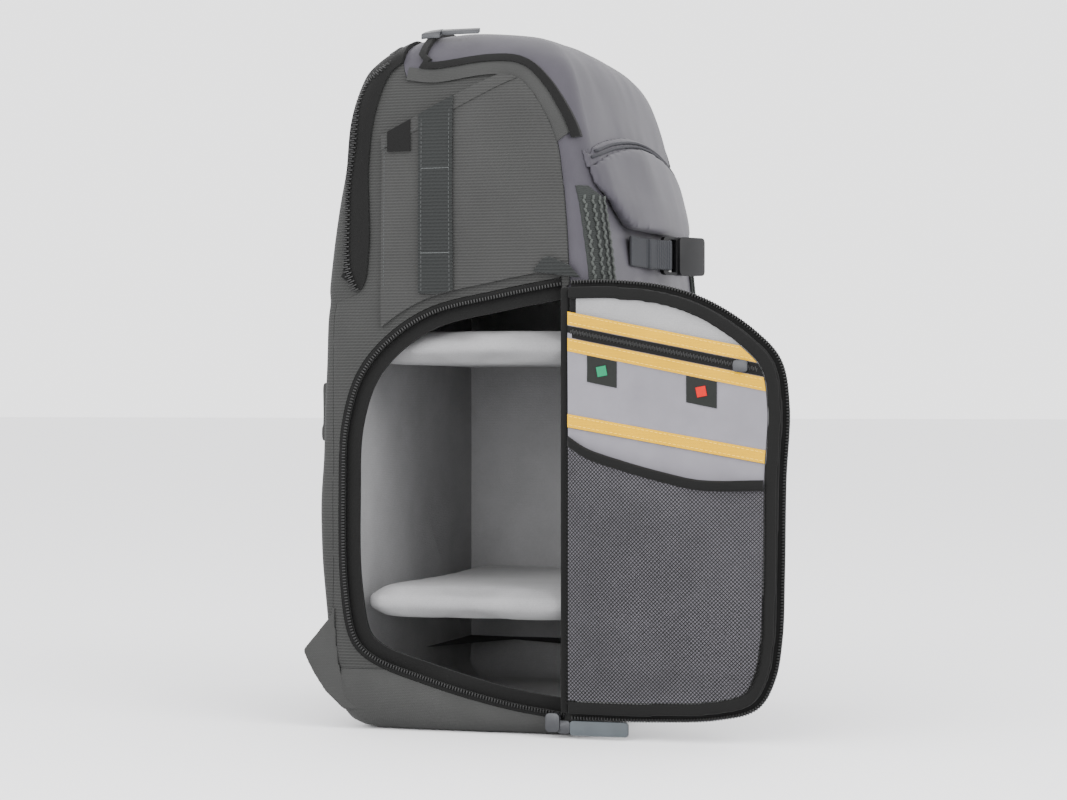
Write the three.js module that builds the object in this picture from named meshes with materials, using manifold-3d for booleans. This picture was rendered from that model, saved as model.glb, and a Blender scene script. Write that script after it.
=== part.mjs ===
// Camera backpack with its side door open, in millimetres.
// +Z is up, -Y is the pack's outer front, +Y is the wearer's side and -X is the side with the door.
// The origin is on the flat base, under the middle of the pack body.
import * as THREE from "three";
import Module from "manifold-3d";

const wasm = await Module();
wasm.setup();

// Pack body
const packHeight = 497;
const packWidth = 280;
const backDepth = 108; // origin plane to the fullest point of the back
const frontDepth = 109; // origin plane to the front face beside its nose
const noseDepth = 5; // crown of the front face between its rounded corners
const backCorner = 16;
const frontCorner = 30;
const padWall = 7; // fabric, foam and lining of a padded wall
const gap = 0.3; // clearance between pieces that meet
const fabric = 1.2; // a sewn sheet or tape
const webThick = 2;
const bootHeight = 43;

// Rows are horizontal sections. Every length is a share of the size that it follows.
const bodySections = [
  { up: 0, half: 0.87, back: 0.65, front: 0.77 },
  { up: 0.006, half: 0.935, back: 0.74, front: 0.85 },
  { up: 0.02, half: 0.98, back: 0.81, front: 0.91 },
  { up: 0.044, half: 1, back: 0.86, front: 0.95 },
  { up: 0.09, half: 1, back: 0.91, front: 0.975 },
  { up: 0.16, half: 1, back: 0.95, front: 0.99 },
  { up: 0.296, half: 1, back: 1, front: 1 },
  { up: 0.4, half: 1, back: 0.975, front: 1 },
  { up: 0.567, half: 1, back: 0.95, front: 0.985 },
  { up: 0.644, half: 1, back: 0.93, front: 0.963 },
  { up: 0.744, half: 1, back: 0.87, front: 0.9 },
  { up: 0.805, half: 1, back: 0.82, front: 0.835 },
  { up: 0.855, half: 1, back: 0.79, front: 0.78 },
  { up: 0.895, half: 0.985, back: 0.74, front: 0.73 },
  { up: 0.926, half: 0.955, back: 0.68, front: 0.685 },
  { up: 0.946, half: 0.915, back: 0.61, front: 0.64 },
  { up: 0.962, half: 0.86, back: 0.54, front: 0.58 },
  { up: 0.976, half: 0.785, back: 0.46, front: 0.5 },
  { up: 0.988, half: 0.69, back: 0.36, front: 0.39 },
  { up: 0.996, half: 0.57, back: 0.24, front: 0.26 },
  { up: 1, half: 0.44, back: 0.13, front: 0.13 },
];

// Seams of the side view: y as a share of the depth on its own side, z as a share of the height.
const sideSeam = [
  { out: -0.734, up: 0.62 },
  { out: -0.725, up: 0.69 },
  { out: -0.69, up: 0.775 },
  { out: -0.65, up: 0.83 },
  { out: -0.57, up: 0.87 },
  { out: -0.48, up: 0.9 },
  { out: -0.37, up: 0.921 },
  { out: -0.19, up: 0.926 },
  { out: 0.185, up: 0.917 },
  { out: 0.38, up: 0.923 },
];
const rearSeam = [
  { out: 0.88, up: 0.605 },
  { out: 0.67, up: 0.625 },
  { out: 0.62, up: 0.68 },
  { out: 0.625, up: 0.8 },
  { out: 0.575, up: 0.88 },
  { out: 0.49, up: 0.935 },
  { out: 0.43, up: 0.95 },
];
const rearZipWidth = 17;
const rearZipThick = 2.4;
const gussetWidth = 9;
const topZipWidth = 5;
const topZipCrossing = 0.315 * backDepth; // where the top zip runs across the crown
const sliderWidth = 8;
const sliderThick = 3;
const topSliderX = 0.3786 * packWidth;
const topPullLength = 28;

// Side opening
const hingeY = -76;
const openingLength = 166; // hinge to the rounded end, along Y
const openingBottom = 11.5;
const openingHeight = 306;
const openingOutline = [
  { along: 0, up: 1 },
  { along: 0.29, up: 0.972 },
  { along: 0.6, up: 0.932 },
  { along: 0.8, up: 0.862 },
  { along: 0.92, up: 0.78 },
  { along: 0.985, up: 0.665 },
  { along: 1, up: 0.5 },
  { along: 0.99, up: 0.29 },
  { along: 0.94, up: 0.165 },
  { along: 0.85, up: 0.118 },
  { along: 0.6, up: 0.07 },
  { along: 0.25, up: 0.021 },
  { along: 0, up: 0 },
];
const zipWidth = 5;
const zipThick = 2.6;
const zipProud = 1.2;
const facingWidth = 9;
const facingThick = 3;

// Door, opened flat beside the pack
const spineWidth = 6;
const doorLength = 0.8916 * openingLength;
const doorHeight = 0.9542 * openingHeight;
const doorBottom = openingBottom + 0.0212 * openingHeight;
const doorPad = 8;
const doorOutline = [
  { along: 0, up: 1 },
  { along: 0.2, up: 1 },
  { along: 0.45, up: 0.985 },
  { along: 0.65, up: 0.95 },
  { along: 0.86, up: 0.88 },
  { along: 0.965, up: 0.82 },
  { along: 1, up: 0.72 },
  { along: 0.985, up: 0.55 },
  { along: 0.978, up: 0.33 },
  { along: 0.968, up: 0.19 },
  { along: 0.935, up: 0.095 },
  { along: 0.865, up: 0.035 },
  { along: 0.7, up: 0.01 },
  { along: 0.4, up: 0 },
  { along: 0, up: 0 },
];
const rimWidth = 9; // padded rim round the inner face of the door
const rimThick = 3;
const tapeWidth = 9; // binding tapes on the pockets
const pocketZipWidth = 8;
// Upper edge of each seam tape at the hinge, as a share of the door's height, and its slope
const pocketSeams = {
  upper: { up: 0.9418, fall: 0.2 },
  middle: { up: 0.88, fall: 0.2 },
  lower: { up: 0.702, fall: 0.175 },
};
const tagWide = 21;
const tagTall = 18;
const tagPlaces = { tag_green: 0.1, tag_red: 0.6 }; // shares of the middle tape's length
const pocketSlider = { long: 10, tall: 8, corner: 2, fromEdge: 27 };
const meshFoot = 0.0377; // share of the door's height
const meshBulge = 9;
const meshFootBulge = 0.45; // share of the bulge that the pocket has near its foot
const meshRise = 25; // height over which the net leaves the door
const meshEdgeWidth = 7;
const meshMouth = [
  { along: 0, up: 0.6507 },
  { along: 0.1, up: 0.6233 },
  { along: 0.28, up: 0.5959 },
  { along: 0.5, up: 0.5685 },
  { along: 0.68, up: 0.5514 },
  { along: 1, up: 0.5514 },
];
const pull = { long: 41, wide: 10, thick: 3.5, corner: 2 };
const sliderBody = { long: 10, tall: 13, thick: 5, corner: 3, fromHinge: 1 };
const sliderEye = { long: 9, tall: 9, thick: 2, corner: 2 };
// Web tab over the upper end of the zip: how far it passes the hinge and falls below the opening's top
const hingeTab = { length: 35, rise: 15.5, pastHinge: 14, below: 1.5 };
const hingeTabOutline = [
  { along: 1, up: 0.323 },
  { along: 0.771, up: 0.968 },
  { along: 0.629, up: 1 },
  { along: 0.229, up: 0.581 },
  { along: 0, up: 0 },
];

// Camera bay
const bayTop = openingBottom + 1.0147 * openingHeight;
const bayWall = 3;
const bayBack = 0.741 * backDepth; // partition in front of the rear compartment
const dividerThick = 15;
const dividerPlaces = { divider_upper: 0.843, divider_lower: 0.255 }; // shares of the opening

// Slip pocket of the side, with its webbing and label
const pocketThick = 2.5;
const pocketBackY = 0.523 * backDepth;
const pocketLift = 6; // lower edge above the opening
const pocketMouth = {
  rearLevel: 0.841 * packHeight,
  frontLevel: 0.9215 * packHeight,
  frontY: -0.22 * frontDepth,
};
const webWidth = 25;
const webY = 0.1435 * backDepth;
const webSlant = 2; // the lower end follows the opening
const sideLabel = { out: 0.398, low: 0.818, high: 0.855, wide: 17, slant: 4 };

// Front pouch, its hood, and the strap below
const pouchHalf = 0.45 * packWidth;
const pouchFlat = 0.3036 * packWidth; // half of the straight lower edge
const pouchLow = 0.7103 * packHeight;
const pouchTip = 0.7666 * packHeight;
const pouchSide = 0.8129 * packHeight;
const pouchTop = 0.8491 * packHeight;
const pouchThick = 12;
const pouchEdge = 3;
const pouchFall = 0.6; // share of the swell lost towards the top
const pouchEnd = 0.02; // share of the width where the pouch's and the hood's swell begins
const hoodEnd = 0.1;
const pouchClear = 1.5; // room between the pouch and the ribbons that run under it
const hoodTall = 13;
const hoodThick = 7;
const hoodLap = 2; // hood above the pouch's crown
const ribbonWidth = 21;
const ribbonLow = 0.4024 * packHeight;
const strapLevel = 0.68 * packHeight;
const strapWidth = 22;
const strapRoot = 0.2857 * packWidth; // middle of the pack to both sewn ends
const strapReach = 0.2286 * packWidth; // sewn end to the place where the left strap leaves the face
const strapLeave = 2; // from there to the buckle's frame
const strapTail = 14; // length of the loose end
const strapTilt = 31; // degrees between the free buckle and the front face
const buckle = { long: 40, wide: 28, thick: 9, frame: 3.4, corner: 3 };
const buckleBar = 5; // end of the frame to the bar that carries the strap
const buckleSlotEnd = 2; // frame left beyond the slot, and clearance round the web
const buckleWall = { face: 2, side: 3, end: 4, catchEnd: 7 };
const prongs = { spread: 9, wide: 5, neck: 9 }; // two springs beside the middle line, and the bridge

// Back and harness
const padThick = 7;
const padHalf = 0.3786 * packWidth;
const padChannel = 12; // half of the channel between the upper pads
const upperPad = { low: 0.527 * packHeight, high: 0.694 * packHeight, corner: 14 };
const lumbarPad = { low: 0.191 * packHeight, high: 0.398 * packHeight, corner: 18 };
const band = {
  low: 0.4085 * packHeight,
  high: 0.493 * packHeight,
  half: 0.4 * packWidth,
  stand: 6.5,
  seam: 5,
};
const strapHalf = 29;
const strapPad = 8;
// Middle line of a shoulder strap: shares of half the pack's width and of its height
const strapRoute = [
  { across: 0.414, up: 0.865 },
  { across: 0.443, up: 0.805 },
  { across: 0.414, up: 0.7485 },
  { across: 0.336, up: 0.674 },
  { across: 0.286, up: 0.5936 },
  { across: 0.279, up: 0.483 },
  { across: 0.3, up: 0.362 },
  { across: 0.371, up: 0.209 },
];
const lowerWeb = 20;
const lock = { tall: 22, wide: 30, thick: 5, below: 3, slotSide: 1 };
const lockSlots = [0.3, 0.7]; // shares of the lock's height
const webAnchor = { out: 0.954, up: 0.1127 }; // sewn end of the webbing on the wing
// The webbing's way from the lock to the wing: shares of the whole way in each direction
const webSweep = [
  { across: 0, inwards: 0, down: 0 },
  { across: 0.06, inwards: 0.17, down: 0.435 },
  { across: 0.29, inwards: 0.52, down: 0.887 },
  { across: 1, inwards: 1, down: 1 },
];
const wingThick = 5;
const wingOutline = [
  { out: 0.648, up: 0.201 },
  { out: 0.843, up: 0.197 },
  { out: 0.889, up: 0.161 },
  { out: 1.083, up: 0.111 },
  { out: 1.009, up: 0.0825 },
  { out: 0.917, up: 0.0523 },
  { out: 0.796, up: 0.0282 },
  { out: 0.648, up: 0.0282 },
];
const handle = { half: 42, stand: 12, seam: 6, wide: 20, level: 0.9055 * packHeight };

const colours = {
  grey: 0x5b5c5c,
  lavender: 0x7b7a82,
  black: 0x262627,
  lining: 0xb9b9bb,
  yellow: 0xe9c04f,
  metal: 0x77797c,
  rubber: 0x3f464c,
  web: 0x47494a,
  green: 0x2f9f72,
  red: 0xd23a34,
};

function material(colour, roughness = 0.9, metalness = 0) {
  return new THREE.MeshStandardMaterial({ color: colour, roughness, metalness });
}
const greyCloth = material(colours.grey);
const lavenderCloth = material(colours.lavender, 0.6);
const blackCloth = material(colours.black);
const liningCloth = material(colours.lining);
const yellowTape = material(colours.yellow, 0.8);
const zipMetal = material(colours.metal, 0.4, 0.8);
const pullRubber = material(colours.rubber, 0.6);
const webbing = material(colours.web);
const buckleNylon = material(colours.black, 0.45);
const greenPatch = material(colours.green, 0.6);
const redPatch = material(colours.red, 0.6);

const v3 = (x, y, z) => new THREE.Vector3(x, y, z);
const lerp = THREE.MathUtils.lerp;
const clamp = THREE.MathUtils.clamp;

// A closed solid from points and triangles, turned right side out.
function solid(points, triangles) {
  const make = (faces) =>
    new wasm.Manifold(
      new wasm.Mesh({
        numProp: 3,
        vertProperties: new Float32Array(points.flatMap((p) => [p.x, p.y, p.z])),
        triVerts: new Uint32Array(faces.flat()),
      }),
    );
  const made = make(triangles);
  return made.volume() < 0 ? make(triangles.map(([a, b, c]) => [a, c, b])) : made;
}

// A solid through rings of the same number of points, closed by a fan at each end.
function loft(rings) {
  const count = rings[0].length;
  const triangles = [];
  for (let r = 0; r + 1 < rings.length; r++) {
    for (let i = 0; i < count; i++) {
      const next = (i + 1) % count;
      const [a, b] = [r * count + i, r * count + next];
      triangles.push([a, b, b + count], [a, b + count, a + count]);
    }
  }
  const last = (rings.length - 1) * count;
  for (let i = 1; i + 1 < count; i++) {
    triangles.push([0, i + 1, i], [last, last + i, last + i + 1]);
  }
  return solid(rings.flat(), triangles);
}

// A sheet with thickness: place(u, v) gives its foot and its top for shares u and v.
function sheet(columns, rows, place) {
  const feet = [];
  const tops = [];
  for (let j = 0; j <= rows; j++) {
    for (let i = 0; i <= columns; i++) {
      const [foot, top] = place(i / columns, j / rows);
      feet.push(foot);
      tops.push(top);
    }
  }
  const wide = columns + 1;
  const shift = feet.length;
  const triangles = [];
  for (let j = 0; j < rows; j++) {
    for (let i = 0; i < columns; i++) {
      const a = j * wide + i;
      const [b, c, d] = [a + 1, a + wide + 1, a + wide];
      triangles.push([a, c, b], [a, d, c]);
      triangles.push([a + shift, b + shift, c + shift], [a + shift, c + shift, d + shift]);
    }
  }
  const rim = [];
  for (let i = 0; i < columns; i++) rim.push(i);
  for (let j = 0; j < rows; j++) rim.push(j * wide + columns);
  for (let i = columns; i > 0; i--) rim.push(rows * wide + i);
  for (let j = rows; j > 0; j--) rim.push(j * wide);
  rim.forEach((a, k) => {
    const b = rim[(k + 1) % rim.length];
    triangles.push([a, b, b + shift], [a, b + shift, a + shift]);
  });
  return solid([...feet, ...tops], triangles);
}

// A strip of rectangular section: each station has a point, a direction across and a direction through.
function strip(stations) {
  return loft(
    stations.map(({ at, across, through }) => [
      at.clone().sub(across),
      at.clone().add(across),
      at.clone().add(across).add(through),
      at.clone().sub(across).add(through),
    ]),
  );
}

// A solid from any closed three.js geometry.
function fromGeometry(geometry) {
  const flat = geometry.index ? geometry.toNonIndexed() : geometry;
  const position = flat.getAttribute("position");
  const known = new Map();
  const points = [];
  const triangles = [];
  for (let i = 0; i < position.count; i += 3) {
    const corners = [0, 1, 2].map((k) => {
      const p = v3(position.getX(i + k), position.getY(i + k), position.getZ(i + k));
      const key = p.toArray().map((n) => n.toFixed(4)).join();
      if (!known.has(key)) {
        known.set(key, points.length);
        points.push(p);
      }
      return known.get(key);
    });
    if (new Set(corners).size === 3) triangles.push(corners);
  }
  return solid(points, triangles);
}

// A prism whose outline is [y, z] pairs, between two values of x.
function sidePrism(outline, xLow, xHigh) {
  const shape = new THREE.Shape(outline.map(([y, z]) => new THREE.Vector2(y, z)));
  const geometry = new THREE.ExtrudeGeometry(shape, { depth: xHigh - xLow, bevelEnabled: false });
  const toRow = new THREE.Matrix4().makeBasis(v3(0, 1, 0), v3(0, 0, 1), v3(1, 0, 0));
  return fromGeometry(geometry.applyMatrix4(toRow).translate(xLow, 0, 0));
}

function block(low, high) {
  const size = high.clone().sub(low);
  const middle = low.clone().add(high).multiplyScalar(0.5);
  return fromGeometry(
    new THREE.BoxGeometry(size.x, size.y, size.z).translate(middle.x, middle.y, middle.z),
  );
}

function mesh(name, shape, finish) {
  const { numProp, vertProperties, triVerts, numVert } = shape.getMesh();
  const positions = new Float32Array(numVert * 3);
  for (let i = 0; i < numVert; i++) {
    positions.set(vertProperties.subarray(i * numProp, i * numProp + 3), i * 3);
  }
  const geometry = new THREE.BufferGeometry();
  geometry.setAttribute("position", new THREE.BufferAttribute(positions, 3));
  geometry.setIndex(new THREE.BufferAttribute(new Uint32Array(triVerts), 1));
  geometry.computeVertexNormals();
  const made = new THREE.Mesh(geometry, finish);
  made.name = name;
  return made;
}

const mirrored = (shape) => shape.mirror([1, 0, 0]);

function largest(shape) {
  return shape.decompose().reduce((a, b) => (b.volume() > a.volume() ? b : a));
}

function arc(cx, cy, radius, from, to, steps) {
  const points = [];
  for (let i = 0; i <= steps; i++) {
    const a = THREE.MathUtils.degToRad(lerp(from, to, i / steps));
    points.push([cx + radius * Math.cos(a), cy + radius * Math.sin(a)]);
  }
  return points;
}

function roundedRect(left, low, right, high, radius, steps = 3) {
  return [
    ...arc(right - radius, high - radius, radius, 0, 90, steps),
    ...arc(left + radius, high - radius, radius, 90, 180, steps),
    ...arc(left + radius, low + radius, radius, 180, 270, steps),
    ...arc(right - radius, low + radius, radius, 270, 360, steps),
  ];
}

// An open run of [y, z] points moved to its right by distance.
function offsetPath(points, distance) {
  return points.map(([y, z], i) => {
    const [y0, z0] = points[Math.max(0, i - 1)];
    const [y1, z1] = points[Math.min(points.length - 1, i + 1)];
    const length = Math.hypot(y1 - y0, z1 - z0);
    return [y + (distance * (z1 - z0)) / length, z - (distance * (y1 - y0)) / length];
  });
}

function smoothPath(points, steps) {
  return new THREE.CatmullRomCurve3(points.map(([y, z]) => v3(y, z, 0)), false, "centripetal")
    .getSpacedPoints(steps)
    .map((p) => [p.x, p.y]);
}

// Value of key at a share of a table whose rows are ordered by at.
function tableValue(table, at, key, share) {
  const found = table.findIndex((row) => row[at] >= share);
  const next = found < 0 ? table.length - 1 : Math.max(1, found);
  const [low, high] = [table[next - 1], table[next]];
  return lerp(low[key], high[key], clamp((share - low[at]) / (high[at] - low[at]), 0, 1));
}

// Body form

// Half width, back and front of the body at a height, each taken in by inset.
function sectionAt(z, inset = 0) {
  const share = clamp(z / packHeight, 0, 1);
  const value = (key, size) => tableValue(bodySections, "up", key, share) * size - inset;
  return {
    half: value("half", packWidth / 2),
    back: value("back", backDepth),
    front: value("front", frontDepth),
  };
}

const noseShares = [-0.5, 0, 0.5];
const cornerSteps = 4;

function bodyRing(z, level, inset) {
  const { half, back, front } = sectionAt(z, inset);
  const rb = Math.min(backCorner - Math.min(inset, padWall), back);
  const rf = Math.min(frontCorner - Math.min(inset, padWall), front);
  const nose = noseShares.map((s) => [s * (half - rf), -front - noseDepth * (1 - s * s)]);
  const outline = [
    ...arc(-(half - rb), back - rb, rb, 90, 180, cornerSteps),
    ...arc(-(half - rf), -(front - rf), rf, 180, 270, cornerSteps),
    ...nose,
    ...arc(half - rf, -(front - rf), rf, 270, 360, cornerSteps),
    ...arc(half - rb, back - rb, rb, 0, 90, cornerSteps),
  ];
  return outline.map(([x, y]) => v3(x, y, level));
}

// The body's closed form, taken in by inset on every side, or let out where inset is negative.
function bodyForm(inset) {
  return loft(
    bodySections.map(({ up }) => {
      const level = lerp(inset, packHeight - inset, up);
      return bodyRing(up * packHeight, level, inset);
    }),
  );
}

const forms = new Map();
function form(inset) {
  const key = inset.toFixed(3);
  if (!forms.has(key)) forms.set(key, bodyForm(inset));
  return forms.get(key);
}

// The part of a region between two distances out from the body's surface.
function skin(region, from, to) {
  return region.intersect(form(-to)).subtract(form(-from));
}

// Where the front and the back of the body are.
function frontY(x, z) {
  const { half, front } = sectionAt(z);
  const flat = half - frontCorner;
  const into = clamp(Math.abs(x) - flat, 0, frontCorner);
  const fall = frontCorner - Math.sqrt(frontCorner ** 2 - into ** 2);
  return -front + fall - noseDepth * Math.max(0, 1 - (x / flat) ** 2);
}
function backY(x, z) {
  const { half, back } = sectionAt(z);
  const into = clamp(Math.abs(x) - (half - backCorner), 0, backCorner);
  return back - (backCorner - Math.sqrt(backCorner ** 2 - into ** 2));
}

// Panels of the body

const beyond = packWidth; // reach of a cutting block past the body
const everywhere = (outline) => sidePrism(outline, -beyond, beyond);
const nearSide = block(v3(-beyond, -beyond, -beyond), v3(-gap, beyond, 2 * packHeight));
const onNearSide = (outline) => sidePrism(outline, -beyond, -gap);
const seamPoint = ({ out, up }) => [out * (out < 0 ? frontDepth : backDepth), up * packHeight];
const sidePath = sideSeam.map(seamPoint);
const rearPath = rearSeam.map(seamPoint);
const sky = packHeight + beyond;
const bootTop = bootHeight + gap;
const [rearFootY] = rearPath[0];
const [rearTopY, rearTopZ] = rearPath[rearPath.length - 1];

const edgeSteps = 30; // points round the opening and round the door
const opening = smoothPath(
  openingOutline.map(({ along, up }) => [
    hingeY + along * openingLength,
    openingBottom + up * openingHeight,
  ]),
  edgeSteps,
);
const openingTop = openingBottom + openingHeight;
const openingCut = sidePrism(opening, -beyond, -packWidth / 4);
const shellWall = form(0).subtract(form(padWall));

const sidePanel = largest(
  shellWall
    .intersect(nearSide)
    .intersect(
      everywhere([
        [hingeY, bootTop],
        ...sidePath.map(([y, z], i) => [i ? y : hingeY, z]),
        [rearTopY - gap, rearTopZ - gap],
        ...rearPath.slice(0, -1).reverse().map(([y, z]) => [y - gap, z]),
        [rearFootY - gap, bootTop],
      ]),
    ),
);
const frontShell = largest(
  shellWall.intersect(
    everywhere([
      [-beyond, bootTop],
      [hingeY - gap, bootTop],
      ...sidePath.map(([y, z], i) => [(i ? y : hingeY) - gap, z + gap]),
      [rearTopY - 2 * gap, rearTopZ],
      [rearTopY - 2 * gap, sky],
      [-beyond, sky],
    ]),
  ),
);
const rearShell = largest(
  shellWall.intersect(
    everywhere([[rearFootY, bootTop], ...rearPath, [rearTopY, sky], [beyond, sky], [beyond, bootTop]]),
  ),
);
const boot = shellWall
  .intersect(block(v3(-beyond, -beyond, -gap), v3(beyond, beyond, bootHeight)))
  .subtract(openingCut);

const root = new THREE.Group();
root.add(
  mesh("side_panel_left", sidePanel.subtract(openingCut), greyCloth),
  mesh("side_panel_right", mirrored(sidePanel), greyCloth),
  mesh("front_top_shell", frontShell, lavenderCloth),
  mesh("rear_compartment", rearShell, greyCloth),
  mesh("base_boot", boot, greyCloth),
);

// Closed zips of the rear compartment and of the lid

function addClosedZips() {
  const rearLine = [...rearPath.slice(1), [rearTopY, sky]];
  const rearZip = skin(
    everywhere([...rearLine, ...offsetPath(rearLine, rearZipWidth).reverse()]),
    gap,
    gap + rearZipThick,
  );
  const lidSeam = sidePath.slice(3);
  const gussetTop = offsetPath(lidSeam, -gussetWidth);
  const gusset = skin(onNearSide([...lidSeam, ...gussetTop.slice(1).reverse()]), gap, gap + fabric);
  const zipRun = offsetPath(lidSeam.slice(0, -1), -gussetWidth - gap);
  const turnZ = zipRun[zipRun.length - 1][1];
  zipRun.push([topZipCrossing - topZipWidth, turnZ + topZipWidth]);
  zipRun.push([topZipCrossing, turnZ + 2 * topZipWidth], [topZipCrossing, sky]);
  const topZip = skin(
    everywhere([...zipRun, ...offsetPath(zipRun, -topZipWidth).reverse()]),
    gap,
    gap + zipThick,
  );
  const onTopZip = gap + zipThick + gap;
  const onRearZip = gap + rearZipThick + gap;
  const sliderFront = topZipCrossing - 2 * topZipWidth;
  const sliderZone = block(
    v3(-topSliderX - sliderWidth / 2, sliderFront, packHeight / 2),
    v3(-topSliderX + sliderWidth / 2, topZipCrossing + sliderWidth / 2, sky),
  );
  const pullZone = block(
    v3(-topSliderX - sliderWidth / 4, sliderFront - gap - topPullLength, packHeight / 2),
    v3(-topSliderX + sliderWidth / 4, sliderFront - gap, sky),
  );
  const rearSliderY = rearPath[2][0] + rearZipWidth / 2;
  const rearSliderZ = rearPath[2][1];
  const rearSliderZone = block(
    v3(gap, rearSliderY - sliderWidth / 2, rearSliderZ - sliderWidth),
    v3(beyond, rearSliderY + sliderWidth / 2, rearSliderZ),
  );
  root.add(
    mesh("top_slider", largest(skin(sliderZone, onTopZip, onTopZip + sliderThick)), zipMetal),
    mesh("top_pull", largest(skin(pullZone, onTopZip + 1, onTopZip + sliderThick)), zipMetal),
    mesh("rear_slider", largest(skin(rearSliderZone, onRearZip, onRearZip + sliderThick)), zipMetal),
    mesh("rear_zip", largest(rearZip), blackCloth),
    mesh("top_gusset_left", largest(gusset), greyCloth),
    mesh("top_gusset_right", largest(mirrored(gusset)), greyCloth),
    mesh("top_zip", largest(topZip), blackCloth),
  );
}
addClosedZips();

// Camera bay

const pastHinge = block(v3(-beyond, hingeY + gap, 0), v3(beyond, beyond, packHeight));

function addBay() {
  const outside = padWall + gap;
  const inside = outside + bayWall;
  const tub = form(outside)
    .intersect(block(v3(-beyond, -beyond, 0), v3(beyond, bayBack + bayWall, bayTop + bayWall)))
    .subtract(form(inside).intersect(block(v3(-beyond, -beyond, 0), v3(beyond, bayBack, bayTop))))
    .subtract(openingCut.intersect(block(v3(-beyond, -beyond, 0), v3(0, bayBack, packHeight))));
  root.add(mesh("bay_lining", largest(tub), liningCloth));

  const mouth = offsetPath(opening, zipWidth + facingWidth + 4 * gap);
  const reach = form(inside + gap).add(
    sidePrism(mouth, -packWidth / 2 + padWall, -packWidth / 2 + inside + dividerThick).intersect(pastHinge),
  );
  for (const [name, share] of Object.entries(dividerPlaces)) {
    const level = openingBottom + share * openingHeight;
    const slab = block(
      v3(-beyond, -beyond, level - dividerThick / 2),
      v3(beyond, bayBack - gap, level + dividerThick / 2),
    );
    root.add(mesh(name, slab.intersect(reach), liningCloth));
  }
}
addBay();

// Zip and facing round the opening, both open towards the hinge

const zipInset = 2 * gap;
const facingInset = zipInset + zipWidth + gap;

function openingRing(from, to, low, high) {
  const inner = offsetPath(opening, to);
  const past = [
    [hingeY - facingWidth, inner[inner.length - 1][1]],
    [hingeY - facingWidth, inner[0][1]],
  ];
  const band = onNearSide(offsetPath(opening, from)).subtract(onNearSide([...inner, ...past]));
  return largest(skin(band.intersect(pastHinge), low, high));
}
const zipFoot = zipProud - zipThick;
root.add(
  mesh("opening_zip", openingRing(zipInset, zipInset + zipWidth, zipFoot, zipProud), blackCloth),
  mesh(
    "opening_facing",
    openingRing(facingInset, facingInset + facingWidth, gap - padWall, facingThick - padWall),
    blackCloth,
  ),
);

// Door

const doorSkin = -packWidth / 2 - gap;
const doorFace = doorSkin - doorPad;
const doorHinge = hingeY - spineWidth - gap;
const doorEdge = smoothPath(
  doorOutline.map(({ along, up }) => [doorHinge - along * doorLength, doorBottom + up * doorHeight]),
  edgeSteps,
);
const doorInner = offsetPath(doorEdge, -rimWidth);
const doorLevel = (share) => doorBottom + share * doorHeight;
// A flat piece on the door, lift away from its inner face.
const onDoor = (outline, lift, thick) => sidePrism(outline, doorFace - lift - thick, doorFace - lift);
const pocketZone = onDoor([...offsetPath(doorInner, -gap)], gap, 10 * fabric);

function addDoor() {
  const doorTop = doorBottom + doorHeight;
  const spine = roundedRect(doorHinge + gap, doorBottom, hingeY, doorTop, spineWidth / 3);
  const ring = (outer, inner) => {
    const past = [
      [doorHinge + doorPad, inner[inner.length - 1][1]],
      [doorHinge + doorPad, inner[0][1]],
    ];
    return [outer, [...inner, ...past]];
  };
  const [zipOuter, zipInner] = ring(offsetPath(doorEdge, gap + zipWidth - 1), offsetPath(doorEdge, gap));
  const [rimOuter, rimInner] = ring(doorEdge, doorInner);
  const zipFace = doorSkin - gap - zipThick;
  root.add(
    mesh("door_spine", sidePrism(spine, doorFace, doorSkin), blackCloth),
    mesh("side_door", sidePrism(doorEdge, doorFace, doorSkin), liningCloth),
    mesh(
      "door_zip",
      largest(
        sidePrism(zipOuter, zipFace, zipFace + zipThick).subtract(
          sidePrism(zipInner, zipFace - 1, zipFace + zipThick + 1),
        ),
      ),
      blackCloth,
    ),
    mesh(
      "door_rim",
      largest(onDoor(rimOuter, gap, rimThick).subtract(onDoor(rimInner, 0, rimThick + 1))),
      blackCloth,
    ),
  );
}
addDoor();

// Pockets of the door

// A slanted band across the door: upper edge at the hinge, fall for each millimetre, and height.
function slantedBand(level, fall, tall, lift, thick) {
  const far = doorHinge - doorLength;
  const drop = fall * doorLength;
  const outline = [
    [doorHinge, level],
    [far, level - drop],
    [far, level - drop - tall],
    [doorHinge, level - tall],
  ];
  return onDoor(outline, lift, thick);
}
const slanted = (...sizes) => slantedBand(...sizes).intersect(pocketZone);

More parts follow.
